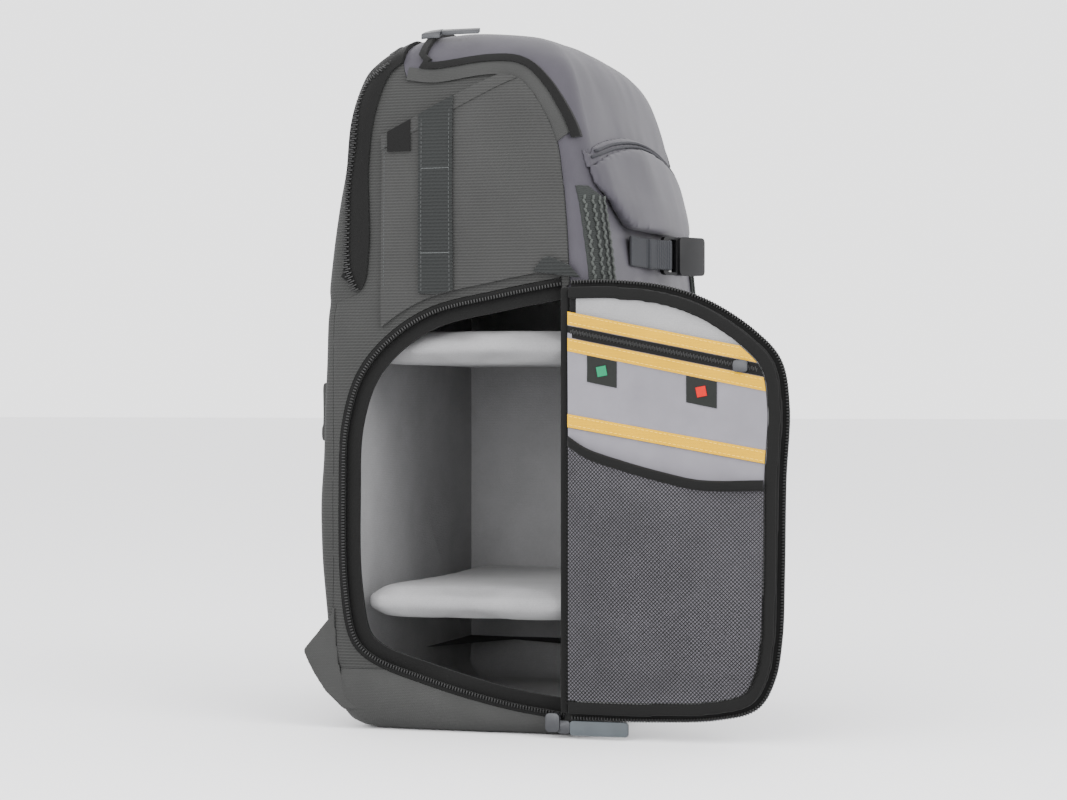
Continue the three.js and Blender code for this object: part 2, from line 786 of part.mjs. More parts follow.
function addDoorPockets() {
  const { upper, middle, lower } = pocketSeams;
  const panelTall = doorLevel(upper.up) - doorLevel(lower.up) + tapeWidth;
  const lowerEdge = doorLevel(lower.up) - tapeWidth;
  const under = slanted(lowerEdge - gap, lower.fall, beyond, gap, fabric);
  const panel = slantedBand(doorLevel(upper.up), upper.fall, panelTall, gap, fabric)
    .subtract(slantedBand(lowerEdge, lower.fall, beyond, 0, 2 * fabric))
    .intersect(pocketZone);
  const lift = 2 * gap + fabric;
  root.add(
    mesh("door_pocket_upper", largest(panel), liningCloth),
    mesh("door_pocket_lower", under, liningCloth),
  );
  for (const [place, { up, fall }] of Object.entries(pocketSeams)) {
    const tape = slanted(doorLevel(up), fall, tapeWidth, lift, fabric);
    root.add(mesh("door_tape_" + place, tape, yellowTape));
  }
  const zipLevel = (doorLevel(upper.up) - tapeWidth + doorLevel(middle.up) + pocketZipWidth) / 2;
  const zipBand = slanted(zipLevel, upper.fall, pocketZipWidth, lift, fabric);
  root.add(mesh("door_pocket_zip", zipBand, blackCloth));

  const tagTop = (y) => doorLevel(middle.up) - tapeWidth - gap - middle.fall * (doorHinge - y);
  const tagFinish = { tag_green: greenPatch, tag_red: redPatch };
  for (const [name, share] of Object.entries(tagPlaces)) {
    const y = doorHinge - share * (doorLength - rimWidth);
    const end = y - tagWide;
    const outline = [
      [y, tagTop(y)],
      [end, tagTop(end)],
      [end, tagTop(end) - tagTall],
      [y, tagTop(y) - tagTall],
    ];
    root.add(mesh(name, onDoor(outline, lift, fabric), tagFinish[name]));
  }
  const { long, tall, corner, fromEdge } = pocketSlider;
  const y = doorHinge - doorLength + fromEdge;
  const z = zipLevel - pocketZipWidth / 2 - upper.fall * (doorHinge - y);
  const slider = roundedRect(y - long / 2, z - tall / 2, y + long / 2, z + tall / 2, corner);
  root.add(mesh("door_pocket_slider", onDoor(slider, lift + fabric + gap, 2 * fabric), zipMetal));
}
addDoorPockets();

function addMeshPocket() {
  const near = doorHinge - gap;
  const far = doorHinge - doorLength + rimWidth + gap;
  const face = doorFace - 2 * gap - fabric;
  const foot = doorLevel(meshFoot);
  const mouth = (u) => doorLevel(tableValue(meshMouth, "along", "up", u));
  // Distance of the net from the door: none along its sides and foot, most at the mouth.
  const bulge = (u, z) => {
    const grown = lerp(meshFootBulge, 1, clamp((z - foot) / (mouth(u) - foot), 0, 1));
    const leaving = Math.min(1, (z - foot) / meshRise);
    return meshBulge * Math.sqrt(Math.sin(Math.PI * u)) * grown * leaving;
  };
  const cloth = (low, high, thick) =>
    sheet(12, 4, (u, v) => {
      const y = lerp(near, far, u);
      const z = lerp(low(u), high(u), v);
      const x = face - bulge(u, z);
      return [v3(x, y, z), v3(x - thick, y, z)];
    });
  const hem = (u) => mouth(u) - meshEdgeWidth;
  const zone = onDoor(offsetPath(doorInner, -gap), 0, 2 * meshBulge);
  const net = cloth(() => foot, (u) => hem(u) - gap, fabric).intersect(zone);
  const edge = cloth(hem, mouth, 2 * fabric).intersect(zone);
  root.add(mesh("mesh_pocket", net, blackCloth), mesh("mesh_edge", edge, blackCloth));
}
addMeshPocket();

// Slider and rubber pull at the lower end of the opening's zip, and the web tab at its upper end

function addDoorHardware() {
  const face = -packWidth / 2 - zipProud - gap;
  const low = openingBottom - pull.wide;
  const bodyY = hingeY + sliderBody.fromHinge;
  const bodyZ = low + sliderBody.corner;
  const body = sidePrism(
    roundedRect(bodyY, bodyZ, bodyY + sliderBody.long, bodyZ + sliderBody.tall, sliderBody.corner),
    face - sliderBody.thick,
    face,
  );
  const eyeY = bodyY + sliderEye.corner - sliderEye.long;
  const eyeZ = low + sliderEye.corner;
  const eye = sidePrism(
    roundedRect(eyeY, eyeZ, eyeY + sliderEye.long, eyeZ + sliderEye.tall, sliderEye.corner),
    face - 1.5 * sliderEye.thick,
    face - 0.5 * sliderEye.thick,
  );
  const pullEnd = eyeY - gap;
  const middle = face - sliderEye.thick;
  const rubber = sidePrism(
    roundedRect(pullEnd - pull.long, low + 1, pullEnd, low + 1 + pull.wide, pull.corner),
    middle - pull.thick / 2,
    middle + pull.thick / 2,
  );
  const tab = hingeTabOutline.map(({ along, up }) => [
    hingeY - hingeTab.pastHinge + along * hingeTab.length,
    openingTop - hingeTab.below + up * hingeTab.rise,
  ]);
  const tabFace = -packWidth / 2 - 2 * gap - pocketThick;
  root.add(
    mesh("door_slider", body.add(eye), zipMetal),
    mesh("door_pull", rubber, pullRubber),
    mesh("hinge_tab", sidePrism(tab, tabFace - webThick, tabFace), webbing),
  );
}
addDoorHardware();

// Slip pocket, webbing and label of the side

function addSideTrim() {
  const { rearLevel, frontLevel, frontY: mouthY } = pocketMouth;
  const mouthLevel = (y) => lerp(rearLevel, frontLevel, (pocketBackY - y) / (pocketBackY - mouthY));
  const lower = offsetPath(opening, -pocketLift).filter(([y, z]) => z > bayTop / 2 && y < pocketBackY);
  const seam = sidePath.filter(([y, z]) => y < mouthY && z > lower[0][1]);
  const pocket = onNearSide([
    [hingeY + gap, lower[0][1]],
    ...seam.map(([y, z]) => [Math.max(y, hingeY) + gap, z]),
    [mouthY, frontLevel],
    [pocketBackY, rearLevel],
    [pocketBackY, lower[lower.length - 1][1]],
    ...lower.slice(1).reverse(),
  ]);
  const over = 2 * gap + pocketThick;
  const webOutline = [-webWidth / 2, webWidth / 2].map((half) => {
    const y = webY + half;
    return [y, mouthLevel(y) - gap];
  });
  const webLow = openingTop - webWidth / 2;
  const webFoot = [
    [webOutline[1][0], webLow],
    [webOutline[0][0], webLow + webSlant],
  ];
  const web = onNearSide([...webOutline, ...webFoot]);
  const labelNear = sideLabel.out * backDepth - sideLabel.wide / 2;
  const labelFar = labelNear + sideLabel.wide;
  const label = onNearSide([
    [labelNear, sideLabel.low * packHeight],
    [labelFar, sideLabel.low * packHeight],
    [labelFar, sideLabel.high * packHeight - sideLabel.slant],
    [labelNear, sideLabel.high * packHeight + sideLabel.slant],
  ]);
  root.add(
    mesh("side_pocket", largest(skin(pocket, gap, gap + pocketThick)), greyCloth),
    mesh("side_webbing", largest(skin(web, over, over + webThick)), webbing),
    mesh("side_label", largest(skin(label, over, over + fabric)), blackCloth),
  );
}
addSideTrim();

// Front pouch with its hood, reflective ribbons and compression strap

const pouchCrown = (x) => lerp(pouchTop, pouchSide, (x / pouchHalf) ** 2);
const pouchFoot = (x) =>
  lerp(pouchLow, pouchTip, clamp((Math.abs(x) - pouchFlat) / (pouchHalf - pouchFlat), 0, 1));

// A raised sheet on the front between two levels, rise above the body at each place.
function frontSheet(half, rows, low, high, rise) {
  return sheet(16, rows, (u, v) => {
    const x = lerp(-half, half, u);
    const z = lerp(low(x), high(x), v);
    const y = frontY(x, z);
    return [v3(x, y + padWall / 2, z), v3(x, y - rise(u, v), z)];
  }).subtract(form(-gap));
}

function addPouch() {
  const hoodLow = (x) => pouchCrown(x) - hoodTall + hoodLap;
  const rounded = (u, end) => Math.sqrt(Math.sin(Math.PI * clamp(u, end, 1 - end)));
  const swell = (u, v) => rounded(u, pouchEnd) * (1 - v * v * pouchFall);
  const rise = (u, v) => gap + pouchEdge + (pouchThick - pouchEdge) * swell(u, v);
  const hoodRise = (u, v) => lerp(gap + hoodThick * rounded(u, hoodEnd), gap + fabric, v);
  const pouch = frontSheet(pouchHalf, 6, pouchFoot, (x) => hoodLow(x) - gap, rise);
  const hood = frontSheet(pouchHalf, 2, hoodLow, (x) => pouchCrown(x) + hoodLap, hoodRise);
  const under = (x) => pouchFoot(x) - pouchClear;
  const keepOut = frontSheet(pouchHalf + pouchClear, 2, under, () => pouchTop, () => pouchThick);
  const corner = packWidth / 2 - frontCorner / 2;
  const ribbonZone = block(
    v3(-corner - ribbonWidth / 2, -beyond, ribbonLow),
    v3(-corner + ribbonWidth / 2, 0, pouchTip),
  );
  const ribbon = largest(skin(ribbonZone, gap, gap + webThick).subtract(keepOut));
  root.add(
    mesh("front_pouch", pouch, lavenderCloth),
    mesh("pouch_hood", hood, lavenderCloth),
    mesh("ribbon_left", ribbon, webbing),
    mesh("ribbon_right", mirrored(ribbon), webbing),
  );
}
addPouch();

// A flat web that follows points at its middle, with its wide direction upright.
function frontWeb(points) {
  return strip(
    points.map((at, i) => {
      const run = points[Math.min(points.length - 1, i + 1)].clone().sub(points[Math.max(0, i - 1)]);
      const through = run.cross(v3(0, 0, 1)).setLength(webThick);
      const foot = at.clone().addScaledVector(through, -0.5);
      return { at: foot, across: v3(0, 0, strapWidth / 2), through };
    }),
  );
}

function addFrontStrap() {
  const tilt = THREE.MathUtils.degToRad(strapTilt);
  const half = webThick / 2;
  const foldX = -strapRoot + strapReach;
  const onFace = (x, lift) => v3(x, frontY(x, strapLevel - strapWidth / 2) - lift, strapLevel);
  // The tilted buckle's own directions: along it, and away from the pack.
  const origin = onFace(foldX + strapLeave, buckle.frame + webThick);
  const along = v3(Math.cos(tilt), -Math.sin(tilt), 0);
  const away = v3(-Math.sin(tilt), -Math.cos(tilt), 0);
  const turn = buckle.frame / 2 + half + gap;
  const roundBar = [-90, -45, 0, 45, 90].map((degrees) => {
    const a = THREE.MathUtils.degToRad(degrees);
    const forward = buckleBar + turn * Math.cos(a);
    return origin.clone().addScaledVector(along, forward).addScaledVector(away, turn * Math.sin(a));
  });
  const leaving = origin.clone().addScaledVector(away, turn);
  const doubled = 2 * gap + webThick + half;
  const tailBacks = [strapTail - webThick, strapTail + strapWidth / 2];
  const tail = tailBacks.map((back) => onFace(foldX - back, doubled));
  const run = [-strapRoot, -0.8 * strapRoot, foldX].map((x) => onFace(x, gap + half));
  const left = frontWeb([...run, ...roundBar, leaving, ...tail]);

  const toRow = new THREE.Matrix4().makeBasis(along, v3(0, 0, 1), along.clone().cross(v3(0, 0, 1)));
  const plate = (from, to, side, corner, thick) => {
    const outline = roundedRect(from, side - buckle.wide / 2, to, buckle.wide / 2 - side, corner);
    const shape = new THREE.Shape(outline.map(([l, h]) => new THREE.Vector2(l, h)));
    const geometry = new THREE.ExtrudeGeometry(shape, { depth: thick, bevelEnabled: false });
    geometry.translate(0, 0, -thick / 2).applyMatrix4(toRow);
    return fromGeometry(geometry.translate(origin.x, origin.y, origin.z));
  };
  const slotEnd = buckleBar + 2 * turn + buckleSlotEnd;
  const slotSide = (buckle.wide - strapWidth - buckleSlotEnd) / 2;
  const hollow = buckle.thick - 2 * buckleWall.face;
  const catchFrom = slotEnd + buckleWall.catchEnd;
  const catchTo = buckle.long - buckleWall.catchEnd;
  const socket = plate(0, slotEnd + buckleSlotEnd, 0, buckle.corner, buckle.frame)
    .subtract(plate(buckleBar, slotEnd, slotSide, slotSide / 2, buckle.thick))
    .add(plate(slotEnd + buckleSlotEnd / 2, buckle.long, 0, buckle.corner, buckle.thick))
    .subtract(plate(slotEnd + buckleWall.end, 2 * buckle.long, buckleWall.side, slotSide, hollow))
    .subtract(plate(catchFrom, catchTo, -strapWidth, slotSide, hollow));

  const farRun = [1, 0.75, 0.5].map((share) => onFace(share * strapRoot, gap + half));
  const bridgeX = strapRoot / 2 - gap;
  const bar = (from, to, low, high) =>
    block(v3(from, -beyond, strapLevel + low), v3(to, 0, strapLevel + high));
  const springs = [-prongs.spread, prongs.spread].map((middle) =>
    bar(bridgeX - buckle.long, bridgeX - prongs.neck, middle - prongs.wide / 2, middle + prongs.wide / 2),
  );
  const bridge = bar(bridgeX - prongs.neck - half, bridgeX, -strapWidth / 2, strapWidth / 2);
  const male = skin(bridge.add(springs[0]).add(springs[1]), gap, gap + buckle.frame);
  root.add(
    mesh("front_strap_left", left, webbing),
    mesh("buckle_socket", largest(socket), buckleNylon),
    mesh("front_strap_right", frontWeb(farRun), webbing),
    mesh("buckle_prongs", largest(male), buckleNylon),
  );
}
addFrontStrap();

// Back and harness

// A prism whose outline is [x, z] pairs, reaching from the middle of the pack past its back.
function backPrism(outline) {
  const shape = new THREE.Shape(outline.map(([x, z]) => new THREE.Vector2(x, z)));
  const geometry = new THREE.ExtrudeGeometry(shape, { depth: beyond, bevelEnabled: false });
  return fromGeometry(geometry.rotateX(Math.PI / 2).translate(0, beyond, 0));
}

// A strap that stands off the back between its sewn ends.
function bridgeStrap({ half, low, high, stand, seam }) {
  const strap = backPrism(roundedRect(-half, low, half, high, webThick, 1));
  const room = backPrism(roundedRect(seam - half, low - 1, half - seam, high + 1, webThick, 1));
  const whole = skin(strap, gap, gap + stand + webThick);
  return largest(whole.subtract(skin(room, -gap, gap + stand)));
}

function addBackPanel() {
  const pad = (outline) => skin(backPrism(outline), gap, gap + padThick);
  const upper = pad(roundedRect(-padHalf, upperPad.low, -padChannel, upperPad.high, upperPad.corner));
  const lumbar = pad(roundedRect(-padHalf, lumbarPad.low, padHalf, lumbarPad.high, lumbarPad.corner));
  const grip = { ...handle, low: handle.level - handle.wide / 2, high: handle.level + handle.wide / 2 };
  root.add(
    mesh("back_pad_left", upper, blackCloth),
    mesh("back_pad_right", mirrored(upper), blackCloth),
    mesh("lumbar_pad", lumbar, blackCloth),
    mesh("trolley_band", bridgeStrap(band), greyCloth),
    mesh("grab_handle", bridgeStrap(grip), webbing),
  );
}
addBackPanel();

// Distance of the straps from the back: flat on it above the pads, and clear of pads and band below.
const strapOver = gap + Math.max(padThick, band.stand + webThick) + gap;
function strapLift(z) {
  return lerp(strapOver, 2 * gap, clamp((z - upperPad.high) / (2 * padThick), 0, 1) ** 0.5);
}

function addHarness() {
  const padClear = skin(
    backPrism(roundedRect(-padHalf, upperPad.low, padHalf, upperPad.high + gap, padThick)),
    0,
    padThick + 2 * gap,
  );
  const steps = 14;
  const middle = strapRoute.map(({ across, up }) => v3((-across * packWidth) / 2, 0, up * packHeight));
  const route = new THREE.CatmullRomCurve3(middle, false, "centripetal");
  const strap = sheet(2, steps, (u, v) => {
    const at = route.getPointAt(v);
    const run = route.getTangentAt(v);
    const across = v3(-run.z, 0, run.x).multiplyScalar(lerp(-strapHalf, strapHalf, u));
    const foot = at.add(across);
    foot.y = backY(foot.x, foot.z) + strapLift(foot.z);
    return [foot, foot.clone().add(v3(0, strapPad, 0))];
  })
    .subtract(form(-gap))
    .subtract(padClear);

  const end = middle[middle.length - 1];
  const lockTop = end.z - gap - lock.below;
  const lockLow = lockTop - lock.tall;
  const lockFoot = backY(end.x, end.z) + strapOver;
  const plate = block(
    v3(end.x - lock.wide / 2, lockFoot, lockLow),
    v3(end.x + lock.wide / 2, lockFoot + lock.thick, lockTop),
  );
  const slotHalf = lowerWeb / 2 + lock.slotSide;
  const slots = lockSlots.map((share) => {
    const z = lockTop - lock.tall * share;
    return block(
      v3(end.x - slotHalf, lockFoot - 1, z - webThick),
      v3(end.x + slotHalf, lockFoot + lock.thick + 1, z + webThick),
    );
  });

  const wing = sidePrism(
    wingOutline.map(({ out, up }) => [out * backDepth, up * packHeight]),
    -packWidth / 2 + gap,
    -packWidth / 2 + gap + wingThick,
  ).subtract(form(-gap));

  const leave = v3(end.x, lockFoot + webThick / 2, lockLow - 2 * gap);
  const start = leave.clone().sub(v3(0, 0, lowerWeb / 4));
  const anchor = v3(
    -packWidth / 2 + gap + wingThick + gap,
    webAnchor.out * backDepth,
    webAnchor.up * packHeight,
  );
  const sweep = webSweep.map(({ across, inwards, down }) =>
    v3(lerp(start.x, anchor.x, across), lerp(start.y, anchor.y, inwards), lerp(start.z, anchor.z, down)),
  );
  const webPoints = new THREE.CatmullRomCurve3([leave, ...sweep]).getSpacedPoints(8);
  const web = strip(
    webPoints.map((at, i) => {
      const next = webPoints[Math.min(webPoints.length - 1, i + 1)];
      const run = i ? next.clone().sub(webPoints[i - 1]) : v3(0, 0, -1);
      const across = v3(-run.z, 0, run.x).setLength(lowerWeb / 2);
      return { at, across, through: v3(0, webThick, 0) };
    }),
  );
  for (const [side, turned] of [["left", (part) => part], ["right", mirrored]]) {
    root.add(
      mesh("shoulder_strap_" + side, turned(strap), blackCloth),
      mesh("ladder_lock_" + side, turned(plate.subtract(slots[0]).subtract(slots[1])), buckleNylon),
      mesh("strap_webbing_" + side, turned(web), webbing),
      mesh("wing_" + side, turned(largest(wing)), greyCloth),
    );
  }
}
addHarness();

export default root;
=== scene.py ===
import math

import bpy
import numpy as np
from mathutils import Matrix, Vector, noise
from mathutils.bvhtree import BVHTree


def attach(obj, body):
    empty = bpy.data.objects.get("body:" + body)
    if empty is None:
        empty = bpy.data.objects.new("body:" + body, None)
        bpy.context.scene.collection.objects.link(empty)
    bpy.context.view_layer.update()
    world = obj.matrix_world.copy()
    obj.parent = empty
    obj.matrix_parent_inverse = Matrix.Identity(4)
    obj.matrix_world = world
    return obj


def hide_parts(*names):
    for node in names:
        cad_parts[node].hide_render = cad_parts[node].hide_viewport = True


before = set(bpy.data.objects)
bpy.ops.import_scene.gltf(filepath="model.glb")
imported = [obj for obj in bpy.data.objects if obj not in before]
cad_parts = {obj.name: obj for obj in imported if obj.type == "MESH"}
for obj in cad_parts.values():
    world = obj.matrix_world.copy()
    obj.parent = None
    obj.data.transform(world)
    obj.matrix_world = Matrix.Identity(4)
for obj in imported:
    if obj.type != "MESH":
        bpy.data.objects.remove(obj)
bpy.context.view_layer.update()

# ----------------------------
# Camera, level and 17 degrees round from the pack's open side, as in the photograph.
camera_data = bpy.data.cameras.new("photo_camera")
camera_data.lens = 88.3
camera_data.sensor_width = 36
camera = bpy.data.objects.new("photo_camera", camera_data)
camera.location = (-1.868, -0.583, 0.2325)
camera.rotation_euler = (math.radians(90), 0, math.radians(-73))
bpy.context.scene.collection.objects.link(camera)
bpy.context.scene.camera = camera

# ----------------------------
# Studio: a pale paper floor in white surroundings, with a broad lamp over the pack's front, one
# behind the camera and a low one that lights the bay. The light is soft, so that folds show.


def only(*objects):
    bpy.ops.object.select_all(action="DESELECT")
    for thing in objects:
        thing.select_set(True)
    bpy.context.view_layer.objects.active = objects[0]


def material(name):
    made = bpy.data.materials.new(name)
    made.use_nodes = True
    return made, made.node_tree.nodes, made.node_tree.links, made.node_tree.nodes["Principled BSDF"]


bpy.ops.object.select_all(action="DESELECT")
bpy.ops.mesh.primitive_plane_add(size=60, location=(0, 0, 0))
floor = bpy.context.object
floor.name = "paper_floor"
paper, _, _, paper_shader = material("floor_paper")
paper_shader.inputs["Base Color"].default_value = (0.82, 0.82, 0.83, 1)
paper_shader.inputs["Roughness"].default_value = 0.9
floor.data.materials.append(paper)

for name, place, size, power in [
    ("lamp_front", (-1.3, -2.2, 1.9), 1.8, 75),
    ("lamp_camera", (-2.6, 0.9, 1.3), 2.2, 80),
    ("lamp_low", (-2.2, -0.2, 0.35), 1.0, 22),
]:
    lamp_data = bpy.data.lights.new(name, "AREA")
    lamp_data.size = size
    lamp_data.energy = power
    lamp = bpy.data.objects.new(name, lamp_data)
    lamp.location = place
    lamp.rotation_euler = (Vector((0, 0, 0.25)) - Vector(place)).to_track_quat("-Z", "Y").to_euler()
    bpy.context.scene.collection.objects.link(lamp)

world = bpy.data.worlds.new("white_room")
world.use_nodes = True
world.node_tree.nodes["Background"].inputs["Color"].default_value = (1.0, 1.0, 1.01, 1)
world.node_tree.nodes["Background"].inputs["Strength"].default_value = 2.45
bpy.context.scene.world = world

# ----------------------------
# Body: five panels of woven cloth over 5 mm foam, cut flat, sewn edge to edge and turned.
# Each swells between its seams and dips into them. The left one has the door's opening cut out.
pack_height, half_width = 0.497, 0.140
back_depth, front_depth = 0.108, 0.109
nose, back_corner, front_corner = 0.005, 0.016, 0.030
boot_height = 0.0433
hinge_y, opening_length = -0.076, 0.166
opening_bottom, opening_height = 0.0115, 0.306

# Level, half width, depth to the back and depth to the front, as shares of the full sizes.
body_rows = np.array(
    [
        (0, 0.87, 0.65, 0.77), (0.006, 0.935, 0.74, 0.85), (0.02, 0.98, 0.81, 0.91),
        (0.044, 1, 0.86, 0.95), (0.09, 1, 0.91, 0.975), (0.16, 1, 0.95, 0.99), (0.296, 1, 1, 1),
        (0.4, 1, 0.975, 1), (0.567, 1, 0.95, 0.985), (0.644, 1, 0.93, 0.963), (0.744, 1, 0.87, 0.9),
        (0.805, 1, 0.82, 0.835), (0.855, 1, 0.79, 0.78), (0.895, 0.985, 0.74, 0.73),
        (0.926, 0.955, 0.68, 0.685), (0.946, 0.915, 0.61, 0.64), (0.962, 0.86, 0.54, 0.58),
        (0.976, 0.785, 0.46, 0.5), (0.988, 0.69, 0.36, 0.39), (0.996, 0.57, 0.24, 0.26),
        (1, 0.44, 0.13, 0.13),
    ]
)
# Seams seen from the side: y as a share of the depth on its own side, level as a share of the height.
side_seam = [
    (-0.734, 0.62), (-0.725, 0.69), (-0.69, 0.775), (-0.65, 0.83), (-0.57, 0.87), (-0.48, 0.9),
    (-0.37, 0.921), (-0.19, 0.926), (0.185, 0.917), (0.38, 0.923),
]
rear_seam = [
    (0.88, 0.605), (0.67, 0.625), (0.62, 0.68), (0.625, 0.8), (0.575, 0.88), (0.49, 0.935),
    (0.43, 0.95),
]
opening_shape = [
    (0, 1), (0.29, 0.972), (0.6, 0.932), (0.8, 0.862), (0.92, 0.78), (0.985, 0.665), (1, 0.5),
    (0.99, 0.29), (0.94, 0.165), (0.85, 0.118), (0.6, 0.07), (0.25, 0.021), (0, 0),
]


def smooth_line(points, step):
    """Points a step apart on a smooth line through the given ones."""
    points = np.array(points, float)
    far = np.concatenate([[0], np.cumsum(np.linalg.norm(np.diff(points, axis=0), axis=1) ** 0.5)])
    slope = np.gradient(points, far, axis=0)
    fine = []
    for i in range(len(points) - 1):
        t = np.linspace(0, 1, 24, endpoint=False)[:, None]
        gap = far[i + 1] - far[i]
        fine.append(
            (2 * t**3 - 3 * t**2 + 1) * points[i]
            + (t**3 - 2 * t**2 + t) * gap * slope[i]
            + (3 * t**2 - 2 * t**3) * points[i + 1]
            + (t**3 - t**2) * gap * slope[i + 1]
        )
    fine = np.vstack(fine + [points[-1:]])
    run = np.concatenate([[0], np.cumsum(np.linalg.norm(np.diff(fine, axis=0), axis=1))])
    marks = np.linspace(0, run[-1], max(2, int(round(run[-1] / step)) + 1))
    return np.stack([np.interp(marks, run, fine[:, k]) for k in range(fine.shape[1])], axis=1)


def offset_line(points, distance):
    """An open run of [y, z] points moved to its right."""
    points = np.array(points, float)
    ahead = np.vstack([points[1:], points[-1:]]) - np.vstack([points[:1], points[:-1]])
    ahead /= np.linalg.norm(ahead, axis=1)[:, None]
    return points + distance * np.stack([ahead[:, 1], -ahead[:, 0]], axis=1)


def seam_points(rows):
    return [(out * (front_depth if out < 0 else back_depth), up * pack_height) for out, up in rows]


side_line = smooth_line(seam_points(side_seam), 0.004)
rear_line = smooth_line(seam_points(rear_seam), 0.004)
opening_line = smooth_line(
    [(hinge_y + a * opening_length, opening_bottom + u * opening_height) for a, u in opening_shape], 0.004
)


def body_ring(row, out, steps):
    """One closed horizontal section of the body, let out by a distance."""
    up, half, back, front = row
    half, back, front = half * half_width + out, back * back_depth + out, front * front_depth + out
    level = -out + up * (pack_height + 2 * out)
    back_r = min(back_corner + out, back)
    front_r = min(front_corner + out, front)

    def arc(cx, cy, radius, start, end, count):
        angle = np.radians(np.linspace(start, end, count, endpoint=False))
        return np.stack([cx + radius * np.cos(angle), cy + radius * np.sin(angle)], axis=1)

    def run(a, b, count):
        share = np.linspace(0, 1, count, endpoint=False)[:, None]
        return np.array(a) * (1 - share) + np.array(b) * share

    flat = half - front_r
    share = np.linspace(-1, 1, 10 * steps, endpoint=False)
    nosed = np.stack([share * flat, -front - nose * (1 - share**2)], axis=1)
    side = np.array([[-half, back - back_r], [-half, -(front - front_r)]])
    line = np.vstack(
        [
            arc(-(half - back_r), back - back_r, back_r, 90, 180, 2 * steps),
            run(side[0], side[1], 8 * steps),
            arc(-flat, -(front - front_r), front_r, 180, 270, 3 * steps),
            nosed,
            arc(flat, -(front - front_r), front_r, 270, 360, 3 * steps),
            run(side[1] * (-1, 1), side[0] * (-1, 1), 8 * steps),
            arc(half - back_r, back - back_r, back_r, 0, 90, 2 * steps),
            run((half - back_r, back), (-(half - back_r), back), 10 * steps),
        ]
    )
    return np.column_stack([line, np.full(len(line), level)])


def body_form(out, steps=4, step=0.013):
    """Vertices and faces of the pack's closed form, let out by a distance."""
    rings = [body_ring(row, out, steps) for row in smooth_line(body_rows, step)]
    low, high = rings[0], rings[-1]
    for share in (0.7, 0.4, 0.1):
        rings.append(high * (share, share, 1))
        rings.insert(0, low * (share, share, 1))
    count = len(rings[0])
    points = np.vstack(rings)
    index = np.arange(len(rings) * count).reshape(len(rings), count)
    a, b = index[:-1], np.roll(index[:-1], -1, axis=1)
    c, d = np.roll(index[1:], -1, axis=1), index[1:]
    faces = np.stack([a, b, c, d], axis=-1).reshape(-1, 4).tolist()
    faces.append(index[0][::-1].tolist())
    faces.append(index[-1].tolist())
    return points, faces


def solid(name, points, faces):
    """A new object from points and faces."""
    mesh = bpy.data.meshes.new(name)
    mesh.from_pydata([tuple(p) for p in points], [], faces)
    made = bpy.data.objects.new(name, mesh)
    bpy.context.scene.collection.objects.link(made)
    return made


def wall(name, low, high, steps=4, step=0.013):
    """The shell between two distances out from the body's form."""
    outer, outer_faces = body_form(high, steps, step)
    inner, inner_faces = body_form(low, max(2, steps // 2), 0.03)
    flipped = [[v + len(outer) for v in face[::-1]] for face in inner_faces]
    return solid(name, np.vstack([outer, inner]), outer_faces + flipped)


def prism(outline, x_low, x_high):
    """A block whose outline is [y, z] pairs, between two values of x."""
    outline = np.array(outline, float)
    count = len(outline)
    area = np.sum(outline[:, 0] * np.roll(outline[:, 1], -1) - outline[:, 1] * np.roll(outline[:, 0], -1))
    if area < 0:
        outline = outline[::-1]
    low = np.column_stack([np.full(count, x_low), outline])
    high = np.column_stack([np.full(count, x_high), outline])
    sides = [[i, (i + 1) % count, count + (i + 1) % count, count + i] for i in range(count)]
    faces = sides + [list(range(count))[::-1], list(range(count, 2 * count))]
    return solid("cutter", np.vstack([low, high]), faces)


def combine(target, cutter, operation):
    """Cuts or keeps a piece by a second one, which goes."""
    only(target)
    tool = target.modifiers.new("cut", "BOOLEAN")
    tool.solver = "MANIFOLD"
    tool.operation = operation
    tool.object = cutter
    bpy.ops.object.modifier_apply(modifier="cut")
    bpy.data.objects.remove(cutter)
    return target


def points_of(piece):
    flat = np.empty(len(piece.data.vertices) * 3)
    piece.data.vertices.foreach_get("co", flat)
    return flat.reshape(-1, 3)


def set_points(piece, points):
    piece.data.vertices.foreach_set("co", np.asarray(points, float).ravel())
    piece.data.update()


def apply(piece, kind, **settings):
    only(piece)
    tool = piece.modifiers.new("step", kind)
    for key, value in settings.items():
        setattr(tool, key, value)
    bpy.ops.object.modifier_apply(modifier="step")


def finer(piece):
    apply(piece, "SUBSURF", subdivision_type="SIMPLE", levels=1, render_levels=1)


def creased(piece, degrees):
    """Smooth shading, but for edges sharper than an angle."""
    only(piece)
    bpy.ops.object.shade_smooth_by_angle(angle=math.radians(degrees))


def face_out(piece, merge=0.0):
    """Turns all faces outwards, after merging points that lie closer than a distance."""
    only(piece)
    bpy.ops.object.mode_set(mode="EDIT")
    bpy.ops.mesh.select_all(action="SELECT")
    if merge:
        bpy.ops.mesh.remove_doubles(threshold=merge)
    bpy.ops.mesh.normals_make_consistent(inside=False)
    bpy.ops.object.mode_set(mode="OBJECT")


def rectangle(y_low, z_low, y_high, z_high):
    return [(y_low, z_low), (y_high, z_low), (y_high, z_high), (y_low, z_high)]


def between(near, far):
    """The outline of the band between two lines."""
    return np.vstack([near, far[::-1]])


def settle(piece, look, slot, node=None, fill=None):
    """Gives a piece its material and its place in the part."""
    piece.data.materials.clear()
    piece.data.materials.append(look)
    if node:
        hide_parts(node)
    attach(piece, "root")
    return piece


